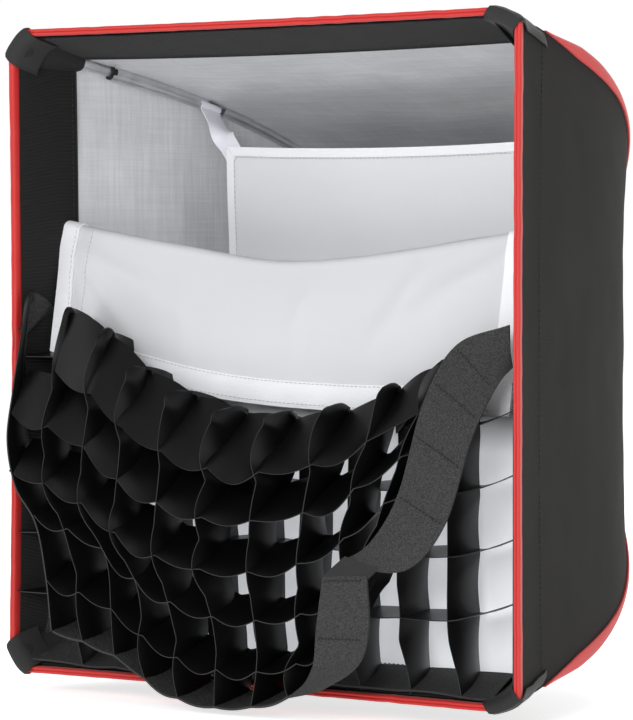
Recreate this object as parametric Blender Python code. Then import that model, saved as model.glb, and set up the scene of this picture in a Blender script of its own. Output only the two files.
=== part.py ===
"""Quick-open softbox: a square fabric light shaper on four bowed rods.

Frame: metres, +Z up, the open front faces -Y.  The origin is the centre of the
bayonet ring's seating face, where the lamp's face meets it; the lamp is on +Y.
"""
import math

import bmesh
import bpy
from mathutils import Matrix, Vector

# ---- driving dimensions -------------------------------------------------------
FRONT_SIZE = 0.550            # outer side of the square front
CANOPY_DEPTH = 0.3575         # front edge to the rods' hinges, along Y
HINGE_Y = -0.030              # depth of the rods' hinge pins
BACK_RATIO = 0.30             # canopy's side at the hinges, as a share of the front's
GAP = 0.0003                  # clearance between pieces that touch

HALF = FRONT_SIZE / 2
FRONT_Y = HINGE_Y - CANOPY_DEPTH

# The rods' curve: control points of one cubic arc, as (share of the front's side
# behind the front edge, share of the front's half side from the centre line).
ROD_ARC = ((0.0, 1.0), (0.161, 0.865), (0.520, 0.886), (CANOPY_DEPTH / FRONT_SIZE, BACK_RATIO))

CLOTH = 0.002                 # shell and band cloth, with its coating
PIPING_RADIUS = 0.003
ROD_RADIUS = 0.0025
ROD_INSET = 0.009             # rod's centre line, in from both panels
SHELL_END = 0.93              # arc parameter where the panels meet the rear skirt
BAND_DEPTH = 0.074            # loop band, front to back
EDGE_STEP = 0.0100            # cloth starts this far behind the front edge

HUB_OUTER = 0.095
HUB_INNER = 0.058
HUB_BACK = -0.010
HUB_FRONT = -0.022
RING_INNER = 0.044
RING_FLANGE = 0.070
COLLAR_OUTER = 0.0485
COLLAR_LENGTH = 0.014
LUG_OUTER = 0.0535
LUG_COUNT = 3
LUG_ANGLE = math.radians(42)
RETAINER_OUTER = 0.066
RETAINER_THICK = 0.0034

SOCKET_RADIUS = 0.0065
SOCKET_LENGTH = 0.030
SOCKET_BORE = 0.0040
SOCKET_BORE_DEPTH = 0.014
BARREL_RADIUS = 0.0070
BARREL_HALF = 0.0060
PIN_RADIUS = 0.0020
CHEEK_INNER = 0.0066
CHEEK_OUTER = 0.0100

BUTTON_AT = 0.0780            # release button's distance from the centre line
BUTTON_RADIUS = 0.0045
BUTTON_STEM = 0.0022
BUTTON_RISE = 0.0060

KNOB_RADIUS = 0.0080
KNOB_Y = 0.0005
KNOB_INNER = 0.0990
KNOB_OUTER = 0.1130
KNOB_STEM = 0.0025
KNOB_GRIPS = 8

INNER_HALF = 0.176            # inner diffuser's half side
INNER_DEPTH = 0.176           # and its distance behind the front edge
INNER_THICK = 0.002
RIBBON_WIDTH = 0.020
RIBBON_THICK = 0.001

SCREEN_HALF = 0.2450
SCREEN_DEPTH = 0.057
SCREEN_THICK = 0.002
SCREEN_FOLD = 0.092           # height of the front diffuser's fold
SCREEN_HEM = -0.036           # height of its turned-down hem
GRID_HALF = 0.2485
GRID_COLUMNS = 11
GRID_ROWS = 5
GRID_WALL = 0.0016
GRID_DEPTH = 0.040
GRID_SET_BACK = 0.003
GRID_FOLD = -0.040            # height of the grid's fold
FLAP_CLEAR = 0.014            # the turned-down half hangs this far before the front

CORNERS = {"top_right": (1, 1), "top_left": (-1, 1), "bottom_left": (-1, -1), "bottom_right": (1, -1)}
SIDES = {"top": 0, "left": 1, "bottom": 2, "right": 3}      # quarter turns about Y


# ---- materials ----------------------------------------------------------------
def material(name, colour, roughness, metallic=0.0):
    mat = bpy.data.materials.new(name)
    mat.use_nodes = True
    shader = mat.node_tree.nodes["Principled BSDF"]
    shader.inputs["Base Color"].default_value = (*colour, 1.0)
    shader.inputs["Roughness"].default_value = roughness
    shader.inputs["Metallic"].default_value = metallic
    return mat


PALETTE = {
    "shell": ((0.042, 0.040, 0.037), 0.85, 0.0),
    "lining": ((0.60, 0.61, 0.62), 0.38, 0.55),
    "band": ((0.012, 0.012, 0.013), 0.95, 0.0),
    "red_piping": ((0.80, 0.035, 0.028), 0.45, 0.0),
    "pocket": ((0.015, 0.015, 0.016), 0.80, 0.0),
    "white_cloth": ((0.78, 0.79, 0.81), 0.75, 0.0),
    "ribbon": ((0.70, 0.70, 0.76), 0.65, 0.0),
    "grid_cloth": ((0.010, 0.010, 0.011), 0.55, 0.0),
    "rod_steel": ((0.42, 0.43, 0.45), 0.32, 0.9),
    "hub_plastic": ((0.020, 0.020, 0.022), 0.50, 0.0),
    "bracket_alloy": ((0.30, 0.30, 0.31), 0.40, 0.9),
    "ring_alloy": ((0.52, 0.53, 0.55), 0.30, 1.0),
    "knob_rubber": ((0.016, 0.016, 0.017), 0.70, 0.0),
    "button_red": ((0.62, 0.03, 0.03), 0.45, 0.0),
}


def finish_object(name, mesh, look, matrix=None, smooth=False):
    """Make the object for one sub-part, with a material of its own."""
    obj = bpy.data.objects.new(name, mesh)
    bpy.context.scene.collection.objects.link(obj)
    mesh.materials.clear()
    mesh.materials.append(material(name + "_finish", *PALETTE[look]))
    if matrix is not None:
        obj.matrix_world = matrix
    if smooth:
        mesh.shade_smooth()
        mesh.set_sharp_from_angle(angle=math.radians(35))
    return obj


def mesh_from(name, build):
    """Run build(bm) on a new bmesh and return the mesh it makes, faces out."""
    bm = bmesh.new()
    build(bm)
    bmesh.ops.recalc_face_normals(bm, faces=bm.faces)
    mesh = bpy.data.meshes.new(name)
    bm.to_mesh(mesh)
    bm.free()
    return mesh


# ---- the rods' arc ------------------------------------------------------------
def arc_point(t):
    """(y, half side) of the canopy at arc parameter t: 0 at the front, 1 at the hinge."""
    weights = ((1 - t) ** 3, 3 * (1 - t) ** 2 * t, 3 * (1 - t) * t * t, t ** 3)
    back = sum(w * p[0] for w, p in zip(weights, ROD_ARC))
    side = sum(w * p[1] for w, p in zip(weights, ROD_ARC))
    return FRONT_Y + back * FRONT_SIZE, side * HALF


def arc_normal(t):
    """Unit normal of the canopy's side in the (y, side) plane, pointing outward."""
    step = 1e-4
    y0, s0 = arc_point(t - step)
    y1, s1 = arc_point(t + step)
    tangent = Vector((y1 - y0, s1 - s0)).normalized()
    return Vector((-tangent.y, tangent.x))


def arc_parameter(distance):
    """Arc parameter at a distance behind the front edge, along Y."""
    low, high = 0.0, 1.0
    for _ in range(40):
        middle = (low + high) / 2
        if arc_point(middle)[0] - FRONT_Y < distance:
            low = middle
        else:
            high = middle
    return low


def spaced(start, stop, count):
    return [start + (stop - start) * i / (count - 1) for i in range(count)]


# ---- shape makers -------------------------------------------------------------
def slab_between(bm, outer, inner):
    """Closed solid between two equal grids of points (lists of rows)."""
    rows, cols = len(outer), len(outer[0])
    a = [[bm.verts.new(p) for p in row] for row in outer]
    b = [[bm.verts.new(p) for p in row] for row in inner]
    for i in range(rows - 1):
        for j in range(cols - 1):
            bm.faces.new((a[i][j], a[i][j + 1], a[i + 1][j + 1], a[i + 1][j]))
            bm.faces.new((b[i][j], b[i + 1][j], b[i + 1][j + 1], b[i][j + 1]))
    for i in range(rows - 1):
        for j in (0, cols - 1):
            bm.faces.new((a[i][j], a[i + 1][j], b[i + 1][j], b[i][j]))
    for j in range(cols - 1):
        for i in (0, rows - 1):
            bm.faces.new((a[i][j], a[i][j + 1], b[i][j + 1], b[i][j]))


def panel_mesh(name, start, stop, count, inward, thickness, margin):
    """Top panel of the canopy: cloth ruled across between two corners' arcs."""
    def build(bm):
        outer, inner = [], []
        for t in spaced(start, stop, count):
            y, side = arc_point(t)
            normal = arc_normal(t)
            reach = side - margin
            for grid, offset in ((outer, -inward), (inner, -inward - thickness)):
                py, pz = y + normal.x * offset, side + normal.y * offset
                grid.append([Vector((x, py, pz)) for x in (-reach, reach)])
        slab_between(bm, outer, inner)
    return mesh_from(name, build)


def quarter_turn(turns):
    return Matrix.Rotation(-turns * math.pi / 2, 4, "Y")


def tube(name, points, radius, look, sides=8):
    """Closed round tube along a path of points."""
    curve = bpy.data.curves.new(name, "CURVE")
    curve.dimensions = "3D"
    curve.bevel_depth = radius
    curve.bevel_resolution = max(0, sides // 4)
    curve.use_fill_caps = True
    spline = curve.splines.new("POLY")
    spline.points.add(len(points) - 1)
    for target, point in zip(spline.points, points):
        target.co = (*point, 1.0)
    holder = bpy.data.objects.new(name + "_path", curve)
    bpy.context.scene.collection.objects.link(holder)
    depsgraph = bpy.context.evaluated_depsgraph_get()
    mesh = bpy.data.meshes.new_from_object(holder.evaluated_get(depsgraph))
    bpy.data.objects.remove(holder)
    bm = bmesh.new()
    bm.from_mesh(mesh)
    bmesh.ops.remove_doubles(bm, verts=bm.verts, dist=1e-6)
    bmesh.ops.recalc_face_normals(bm, faces=bm.faces)
    bm.to_mesh(mesh)
    bm.free()
    return finish_object(name, mesh, look, smooth=True)


def lathe(name, profile, look, segments=48):
    """Closed ring turned about Y from a closed profile of (radius, y) points."""
    def build(bm):
        rings = []
        for k in range(segments):
            angle = 2 * math.pi * k / segments
            rings.append([bm.verts.new((r * math.cos(angle), y, r * math.sin(angle)))
                          for r, y in profile])
        for k in range(segments):
            here, there = rings[k], rings[(k + 1) % segments]
            for i in range(len(profile)):
                j = (i + 1) % len(profile)
                bm.faces.new((here[i], here[j], there[j], there[i]))
    return finish_object(name, mesh_from(name, build), look, smooth=True)


def box(name, low, high, look, matrix=None):
    def build(bm):
        bmesh.ops.create_cube(bm, size=1.0)
        centre = (Vector(low) + Vector(high)) / 2
        size = Vector(high) - Vector(low)
        for vert in bm.verts:
            vert.co = Vector(c * s for c, s in zip(vert.co, size)) + centre
    return finish_object(name, mesh_from(name, build), look, matrix)


def round_bar(name, radius, start, stop, look, segments=20, matrix=None):
    """Solid cylinder between two points."""
    start, stop = Vector(start), Vector(stop)
    axis = stop - start
    turn = axis.to_track_quat("Z", "Y").to_matrix().to_4x4()
    place = Matrix.Translation((start + stop) / 2) @ turn

    def build(bm):
        bmesh.ops.create_cone(bm, cap_ends=True, segments=segments, radius1=radius,
                              radius2=radius, depth=axis.length, matrix=place)
    return finish_object(name, mesh_from(name, build), look, matrix, smooth=True)


def combine(obj, other, operation):
    """Boolean the other object into obj, and remove the other object."""
    modifier = obj.modifiers.new(operation.lower(), "BOOLEAN")
    modifier.operation = operation
    modifier.solver = "EXACT"
    modifier.object = other
    depsgraph = bpy.context.evaluated_depsgraph_get()
    mesh = bpy.data.meshes.new_from_object(obj.evaluated_get(depsgraph))
    obj.modifiers.clear()
    old = obj.data
    obj.data = mesh
    bpy.data.meshes.remove(old)
    bpy.data.objects.remove(other)
    return obj


def lattice_mesh(name, columns, rows, low, high, wall, front, back):
    """Egg-crate plate: open cells between crossed strips, low and high as (x, z)."""
    def edges(start, stop, count):
        pitch = (stop - start - wall) / count
        lines = []
        for k in range(count + 1):
            lines += [start + k * pitch, start + k * pitch + wall]
        return lines

    def build(bm):
        xs, zs = edges(low[0], high[0], columns), edges(low[1], high[1], rows)
        grids = [[[bm.verts.new((x, y, z)) for z in zs] for x in xs] for y in (front, back)]

        def solid(i, j):
            inside = 0 <= i < len(xs) - 1 and 0 <= j < len(zs) - 1
            return inside and (i % 2 == 0 or j % 2 == 0)

        a, b = grids
        for i in range(-1, len(xs)):
            for j in range(-1, len(zs)):
                if solid(i, j):
                    for g in grids:
                        bm.faces.new((g[i][j], g[i + 1][j], g[i + 1][j + 1], g[i][j + 1]))
                if solid(i, j) != solid(i + 1, j):
                    bm.faces.new((a[i + 1][j], a[i + 1][j + 1], b[i + 1][j + 1], b[i + 1][j]))
                if solid(i, j) != solid(i, j + 1):
                    bm.faces.new((a[i][j + 1], a[i + 1][j + 1], b[i + 1][j + 1], b[i][j + 1]))
    return mesh_from(name, build)


# ---- cloth --------------------------------------------------------------------
def make_canopy():
    front = arc_parameter(EDGE_STEP)
    band_end = arc_parameter(BAND_DEPTH)
    lining_start = arc_parameter(BAND_DEPTH + 0.0015)
    layers = (
        ("shell_panel", "shell", front, SHELL_END, 15, -CLOTH, 0.0040),
        ("loop_band", "band", front, band_end, 4, 0.0015, 0.0040),
        ("lining_panel", "lining", lining_start, SHELL_END, 12, 0.0015, 0.0055),
    )
    for layer, look, start, stop, count, inward, margin in layers:
        for side, turns in SIDES.items():
            name = f"{layer}_{side}"
            mesh = panel_mesh(name, start, stop, count, inward, CLOTH, margin)
            finish_object(name, mesh, look, quarter_turn(turns), smooth=True)


def make_piping():
    reach = HALF - 0.029
    y = FRONT_Y + PIPING_RADIUS + 0.0005
    for side, turns in SIDES.items():
        turn = quarter_turn(turns)
        points = [turn @ Vector((x, y, HALF)) for x in spaced(-reach, reach, 9)]
        tube(f"front_piping_{side}", points, PIPING_RADIUS, "red_piping")
    start = arc_parameter(0.0125)
    for corner, (sx, sz) in CORNERS.items():
        points = []
        for t in spaced(start, SHELL_END, 18):
            y, side = arc_point(t)
            points.append(Vector((sx * side, y, sz * side)))
        tube(f"seam_piping_{corner}", points, PIPING_RADIUS, "red_piping")


def make_corner_pockets():
    """Cloth pockets over the front corners, each holding the tip of a rod."""
    arm, width, out, thick = 0.026, 0.009, 0.003, 0.007
    low, high = HALF - arm, HALF + out
    outline = ((low, HALF - width), (HALF - width, HALF - width), (HALF - width, low),
               (high, low), (high, high), (low, high))
    for corner, (sx, sz) in CORNERS.items():
        def build(bm, sx=sx, sz=sz):
            face = bm.faces.new([bm.verts.new((sx * x, FRONT_Y, sz * z)) for x, z in outline])
            grown = bmesh.ops.extrude_face_region(bm, geom=[face])
            verts = [v for v in grown["geom"] if isinstance(v, bmesh.types.BMVert)]
            bmesh.ops.translate(bm, verts=verts, vec=(0, thick, 0))
        name = f"corner_pocket_{corner}"
        finish_object(name, mesh_from(name, build), "pocket")


def make_rear_skirt():
    """Cloth that draws the four panels in to the hub's rim."""
    y_front, side = arc_point(SHELL_END)
    y_front += 0.0030
    side -= 0.0020
    rim_radius, y_back = 0.0985, -0.0105
    steps = 40

    def ring(share, inset):
        points = []
        for k in range(steps):
            angle = 2 * math.pi * k / steps
            c, s = math.cos(angle), math.sin(angle)
            square = (side - inset) / max(abs(c), abs(s))
            circle = rim_radius - inset
            radius = square + (circle - square) * share
            y = y_front + (y_back - y_front) * share
            points.append(Vector((radius * c, y, radius * s)))
        return points

    def build(bm):
        shares = (0.0, 0.5, 1.0)
        skins = []
        for inset in (0.0, CLOTH):
            skins.append([[bm.verts.new(p) for p in ring(share, inset)] for share in shares])
        outer, inner = skins
        for k in range(steps):
            n = (k + 1) % steps
            for i in range(len(shares) - 1):
                bm.faces.new((outer[i][k], outer[i][n], outer[i + 1][n], outer[i + 1][k]))
                bm.faces.new((inner[i][k], inner[i + 1][k], inner[i + 1][n], inner[i][n]))
            for i in (0, len(shares) - 1):
                bm.faces.new((outer[i][k], outer[i][n], inner[i][n], inner[i][k]))
    finish_object("rear_skirt", mesh_from("rear_skirt", build), "shell", smooth=True)


def make_inner_diffuser():
    y = FRONT_Y + INNER_DEPTH
    box("inner_diffuser", (-INNER_HALF, y, -INNER_HALF), (INNER_HALF, y + INNER_THICK, INNER_HALF),
        "white_cloth")
    t = arc_parameter(INNER_DEPTH)
    rod = math.sqrt(2) * (arc_point(t)[1] - ROD_INSET)
    start = math.sqrt(2) * INNER_HALF + 0.0015 + RIBBON_WIDTH / 2
    stop = rod - ROD_RADIUS - 0.0030
    for corner, (sx, sz) in CORNERS.items():
        frame = corner_frame(sx, sz)
        depth = -y
        box(f"diffuser_ribbon_{corner}",
            (start - RIBBON_WIDTH / 2, -RIBBON_WIDTH / 2, depth - RIBBON_THICK),
            (stop, RIBBON_WIDTH / 2, depth), "ribbon", frame)


def make_front_diffuser():
    y = FRONT_Y + SCREEN_DEPTH
    box("front_diffuser_screen", (-SCREEN_HALF, y, -SCREEN_HALF),
        (SCREEN_HALF, y + SCREEN_THICK, SCREEN_FOLD), "white_cloth")
    fold_y = y - 0.009
    box("front_diffuser_flap", (-SCREEN_HALF, fold_y, SCREEN_HEM),
        (SCREEN_HALF, fold_y + SCREEN_THICK, SCREEN_FOLD + 0.004), "white_cloth")


def make_grid():
    front = FRONT_Y + GRID_SET_BACK
    mesh = lattice_mesh("grid_lower", GRID_COLUMNS, GRID_ROWS, (-GRID_HALF, -GRID_HALF),
                        (GRID_HALF, GRID_FOLD), GRID_WALL, front, front + GRID_DEPTH)
    finish_object("grid_lower", mesh, "grid_cloth")
    back = FRONT_Y - FLAP_CLEAR
    mesh = lattice_mesh("grid_flap", GRID_COLUMNS, GRID_ROWS, (-GRID_HALF, GRID_FOLD - 0.235),
                        (GRID_HALF, GRID_FOLD), GRID_WALL, back - GRID_DEPTH, back)
    finish_object("grid_flap", mesh, "grid_cloth")


# ---- hub ----------------------------------------------------------------------
def corner_frame(sx, sz):
    """Frame at the centre line: x outward along the corner, y across, z forward."""
    radial = Vector((sx, 0, sz)).normalized()
    forward = Vector((0, -1, 0))
    across = forward.cross(radial)
    matrix = Matrix((radial, across, forward)).transposed().to_4x4()
    return matrix


def hinge_radius():
    return math.sqrt(2) * (arc_point(1.0)[1] - ROD_INSET)


def rod_point(t):
    """(distance from the centre line, distance forward) of a rod's centre line."""
    y, side = arc_point(t)
    return math.sqrt(2) * (side - ROD_INSET), -y


def rod_direction():
    """Direction in which a rod leaves its hinge, in the corner's frame."""
    near, far = rod_point(1.0), rod_point(0.99)
    return Vector((far[0] - near[0], 0, far[1] - near[1])).normalized()


def make_hub():
    plate = lathe("hub_plate", ((HUB_INNER, HUB_FRONT), (HUB_OUTER, HUB_FRONT),
                                (HUB_OUTER, HUB_BACK), (HUB_INNER, HUB_BACK)), "hub_plastic", 64)
    for sx, sz in CORNERS.values():
        radial = Vector((sx, 0, sz)).normalized() * BUTTON_AT
        start = radial + Vector((0, HUB_FRONT - 0.01, 0))
        stop = radial + Vector((0, HUB_BACK + 0.01, 0))
        combine(plate, round_bar("button_hole", BUTTON_STEM + GAP, start, stop, "hub_plastic", 16),
                "DIFFERENCE")
    plate.data.shade_smooth()
    plate.data.set_sharp_from_angle(angle=math.radians(35))


def make_bayonet():
    neck = HUB_INNER - 0.0006
    flange_front = HUB_BACK + GAP
    neck_front = HUB_FRONT
    ring = lathe("bayonet_ring", (
        (RING_INNER, neck_front), (neck, neck_front), (neck, flange_front),
        (RING_FLANGE, flange_front), (RING_FLANGE, 0.0), (COLLAR_OUTER, 0.0),
        (COLLAR_OUTER, COLLAR_LENGTH), (RING_INNER, COLLAR_LENGTH)), "ring_alloy", 64)
    for k in range(LUG_COUNT):
        middle = 2 * math.pi * k / LUG_COUNT + math.pi / 2

        def build(bm, middle=middle):
            outer, inner = [], []
            for y in (COLLAR_LENGTH - 0.0045, COLLAR_LENGTH - 0.0005):
                for grid, radius in ((outer, LUG_OUTER), (inner, COLLAR_OUTER - 0.0015)):
                    grid.append([Vector((radius * math.cos(a), y, radius * math.sin(a)))
                                 for a in spaced(middle - LUG_ANGLE / 2, middle + LUG_ANGLE / 2, 7)])
            slab_between(bm, outer, inner)
        lug = finish_object("lug", mesh_from("lug", build), "ring_alloy")
        combine(ring, lug, "UNION")
    ring.data.shade_smooth()
    ring.data.set_sharp_from_angle(angle=math.radians(35))
    front = HUB_FRONT - GAP
    lathe("retaining_ring", ((RING_INNER + 0.0005, front - RETAINER_THICK),
                             (RETAINER_OUTER, front - RETAINER_THICK),
                             (RETAINER_OUTER, front), (RING_INNER + 0.0005, front)), "ring_alloy", 48)


def make_lock_knob():
    """Thumb screw that clamps the bayonet ring in its turned position."""
    block_back = 0.008
    block = box("lock_block", (-0.0085, HUB_BACK + GAP, -0.0940), (0.0085, block_back, -0.0715),
                "hub_plastic")
    hole = round_bar("screw_hole", KNOB_STEM + GAP, (0, KNOB_Y, -0.10), (0, KNOB_Y, -0.06),
                     "hub_plastic", 16)
    combine(block, hole, "DIFFERENCE")
    stem_top = -(RING_FLANGE + 0.0008)

    def build(bm):
        count = KNOB_GRIPS * 4
        rings = []
        for z, share in ((-KNOB_INNER, 0.86), (-KNOB_INNER - 0.0015, 1.0),
                         (-KNOB_OUTER + 0.0015, 1.0), (-KNOB_OUTER, 0.86)):
            ring = []
            for k in range(count):
                radius = share * (KNOB_RADIUS - (0.0009 if k % 4 == 0 else 0.0))
                angle = 2 * math.pi * k / count
                ring.append(bm.verts.new((radius * math.cos(angle), KNOB_Y + radius * math.sin(angle), z)))
            rings.append(ring)
        for here, there in zip(rings, rings[1:]):
            for k in range(count):
                n = (k + 1) % count
                bm.faces.new((here[k], here[n], there[n], there[k]))
        bm.faces.new(rings[0])
        bm.faces.new(rings[-1])
    knob = finish_object("lock_knob", mesh_from("lock_knob", build), "knob_rubber")
    stem = round_bar("stem", KNOB_STEM, (0, KNOB_Y, -KNOB_INNER - 0.004), (0, KNOB_Y, stem_top),
                     "knob_rubber", 16)
    combine(knob, stem, "UNION")
    shift = Matrix.Translation((0, KNOB_Y, 0))
    knob.data.transform(shift.inverted())
    knob.matrix_world = shift


def make_rods():
    hinge = hinge_radius()
    forward = -HINGE_Y
    direction = rod_direction()
    pivot = Vector((hinge, 0, forward))
    base = -HUB_FRONT + GAP
    for corner, (sx, sz) in CORNERS.items():
        frame = corner_frame(sx, sz)

        # bracket: two cheeks joined by a web behind the barrel
        web = (hinge - 0.0190, hinge - 0.0150)
        bracket = box(f"rod_bracket_{corner}", (web[0], -CHEEK_OUTER, base),
                      (web[1], CHEEK_OUTER, forward + 0.0070), "bracket_alloy", frame)
        for low, high in ((CHEEK_INNER, CHEEK_OUTER), (-CHEEK_OUTER, -CHEEK_INNER)):
            cheek = box("cheek", (web[0] + 0.0010, low, base + 0.0002),
                        (hinge + 0.0045, high, forward + 0.0060), "bracket_alloy", frame)
            combine(bracket, cheek, "UNION")
        hole = round_bar("pin_hole", PIN_RADIUS + GAP, pivot - Vector((0, 0.02, 0)),
                         pivot + Vector((0, 0.02, 0)), "bracket_alloy", 16, frame)
        combine(bracket, hole, "DIFFERENCE")

        # socket: a barrel on the pin and a bored sleeve that takes the rod
        shift = Matrix.Translation(pivot)
        local = frame @ shift
        socket = round_bar(f"rod_socket_{corner}", BARREL_RADIUS, (0, -BARREL_HALF, 0),
                           (0, BARREL_HALF, 0), "hub_plastic", 24, local)
        sleeve = round_bar("sleeve", SOCKET_RADIUS, direction * 0.003,
                           direction * SOCKET_LENGTH, "hub_plastic", 20, local)
        combine(socket, sleeve, "UNION")
        bore = round_bar("bore", SOCKET_BORE, direction * (SOCKET_LENGTH - SOCKET_BORE_DEPTH),
                         direction * (SOCKET_LENGTH + 0.01), "hub_plastic", 16, local)
        combine(socket, bore, "DIFFERENCE")
        hole = round_bar("hole", PIN_RADIUS + GAP, (0, -0.02, 0), (0, 0.02, 0), "hub_plastic", 16,
                         local)
        combine(socket, hole, "DIFFERENCE")

        round_bar(f"hinge_pin_{corner}", PIN_RADIUS, pivot - Vector((0, CHEEK_OUTER + 0.001, 0)),
                  pivot + Vector((0, CHEEK_OUTER + 0.001, 0)), "bracket_alloy", 16, frame)

        # rod: straight in the socket, then along the canopy's corner
        seat = SOCKET_LENGTH - SOCKET_BORE_DEPTH + 0.0008
        points = [pivot + direction * seat, pivot + direction * (SOCKET_LENGTH - 0.001)]
        tip = arc_parameter(0.014)
        for t in spaced(0.915, tip, 24):
            out, ahead = rod_point(t)
            points.append(Vector((out, 0, ahead)))
        rod = tube(f"rod_{corner}", [p - pivot for p in points], ROD_RADIUS, "rod_steel")
        rod.matrix_world = local

        # release button through the hub plate, pressed toward the front
        back = -HUB_BACK + -BUTTON_RISE
        button = round_bar(f"release_button_{corner}", BUTTON_RADIUS, (BUTTON_AT, 0, back),
                           (BUTTON_AT, 0, back + 0.0030), "button_red", 20, frame)
        stem = round_bar("stem", BUTTON_STEM, (BUTTON_AT, 0, back + 0.001),
                         (BUTTON_AT, 0, base + 0.0015), "button_red", 16, frame)
        combine(button, stem, "UNION")


def main():
    for obj in list(bpy.data.objects):
        bpy.data.objects.remove(obj, do_unlink=True)
    make_canopy()
    make_piping()
    make_corner_pockets()
    make_rear_skirt()
    make_inner_diffuser()
    make_front_diffuser()
    make_grid()
    make_hub()
    make_bayonet()
    make_lock_knob()
    make_rods()


main()
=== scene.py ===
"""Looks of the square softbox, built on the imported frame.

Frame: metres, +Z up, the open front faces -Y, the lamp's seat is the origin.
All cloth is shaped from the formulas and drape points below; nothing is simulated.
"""

import math

import bmesh
import bpy
import numpy as np
from mathutils import Matrix, Vector
from mathutils.noise import noise


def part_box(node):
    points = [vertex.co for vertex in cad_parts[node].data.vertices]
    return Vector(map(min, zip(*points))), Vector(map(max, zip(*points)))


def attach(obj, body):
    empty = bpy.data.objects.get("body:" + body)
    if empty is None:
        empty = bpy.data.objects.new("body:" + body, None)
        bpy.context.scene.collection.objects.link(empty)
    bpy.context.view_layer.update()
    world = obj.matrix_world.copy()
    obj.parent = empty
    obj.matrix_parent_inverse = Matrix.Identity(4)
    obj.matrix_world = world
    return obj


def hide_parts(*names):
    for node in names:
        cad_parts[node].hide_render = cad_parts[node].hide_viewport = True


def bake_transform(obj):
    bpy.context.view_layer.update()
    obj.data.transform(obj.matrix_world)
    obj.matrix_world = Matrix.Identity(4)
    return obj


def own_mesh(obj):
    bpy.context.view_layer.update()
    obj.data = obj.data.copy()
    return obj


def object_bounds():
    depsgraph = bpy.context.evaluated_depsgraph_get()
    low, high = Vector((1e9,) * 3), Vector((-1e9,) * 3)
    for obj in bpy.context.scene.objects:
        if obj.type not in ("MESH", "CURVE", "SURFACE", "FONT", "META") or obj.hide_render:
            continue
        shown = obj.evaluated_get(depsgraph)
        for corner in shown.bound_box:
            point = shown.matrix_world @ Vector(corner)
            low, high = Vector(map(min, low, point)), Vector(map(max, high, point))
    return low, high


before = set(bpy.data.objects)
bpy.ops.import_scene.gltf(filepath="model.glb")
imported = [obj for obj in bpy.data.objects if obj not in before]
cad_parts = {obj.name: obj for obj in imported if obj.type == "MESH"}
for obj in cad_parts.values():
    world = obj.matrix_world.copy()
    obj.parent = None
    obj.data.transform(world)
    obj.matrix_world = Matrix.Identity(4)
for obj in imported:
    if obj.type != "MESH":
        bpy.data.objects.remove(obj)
cad_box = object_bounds()

# ---- sizes taken over from the frame --------------------------------------------
FRONT_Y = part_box("corner_pocket_top_left")[0].y
HALF = 0.275                  # half the front's side
SIDE = 2 * HALF
HINGE_Y = -0.030
CANOPY_DEPTH = HINGE_Y - FRONT_Y
BACK_RATIO = 0.30
# the rods' arc as a Bezier curve: shares of the side behind the front, and of the half side
ROD_ARC = ((0.0, 1.0), (0.161, 0.865), (0.520, 0.886), (CANOPY_DEPTH / SIDE, BACK_RATIO))
ROD_INSET = 0.009
SHELL_END = 0.93
BAND_DEPTH = 0.063
STITCH_DEPTH = 0.050
FORWARD = (0, -1, 0)
WHITE = (1.0, 1.0, 1.0)
INNER_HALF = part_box("inner_diffuser")[1].x
INNER_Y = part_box("inner_diffuser")[0].y
SCREEN_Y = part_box("front_diffuser_screen")[0].y

CORNERS = {"top_right": (1, 1), "top_left": (-1, 1), "bottom_left": (-1, -1), "bottom_right": (1, -1)}
SIDES = {"top": 0, "left": 1, "bottom": 2, "right": 3}
SIDE_CORNERS = {"top": ("top_left", "top_right"), "left": ("bottom_left", "top_left"),
                "bottom": ("bottom_right", "bottom_left"), "right": ("top_right", "bottom_right")}


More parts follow.
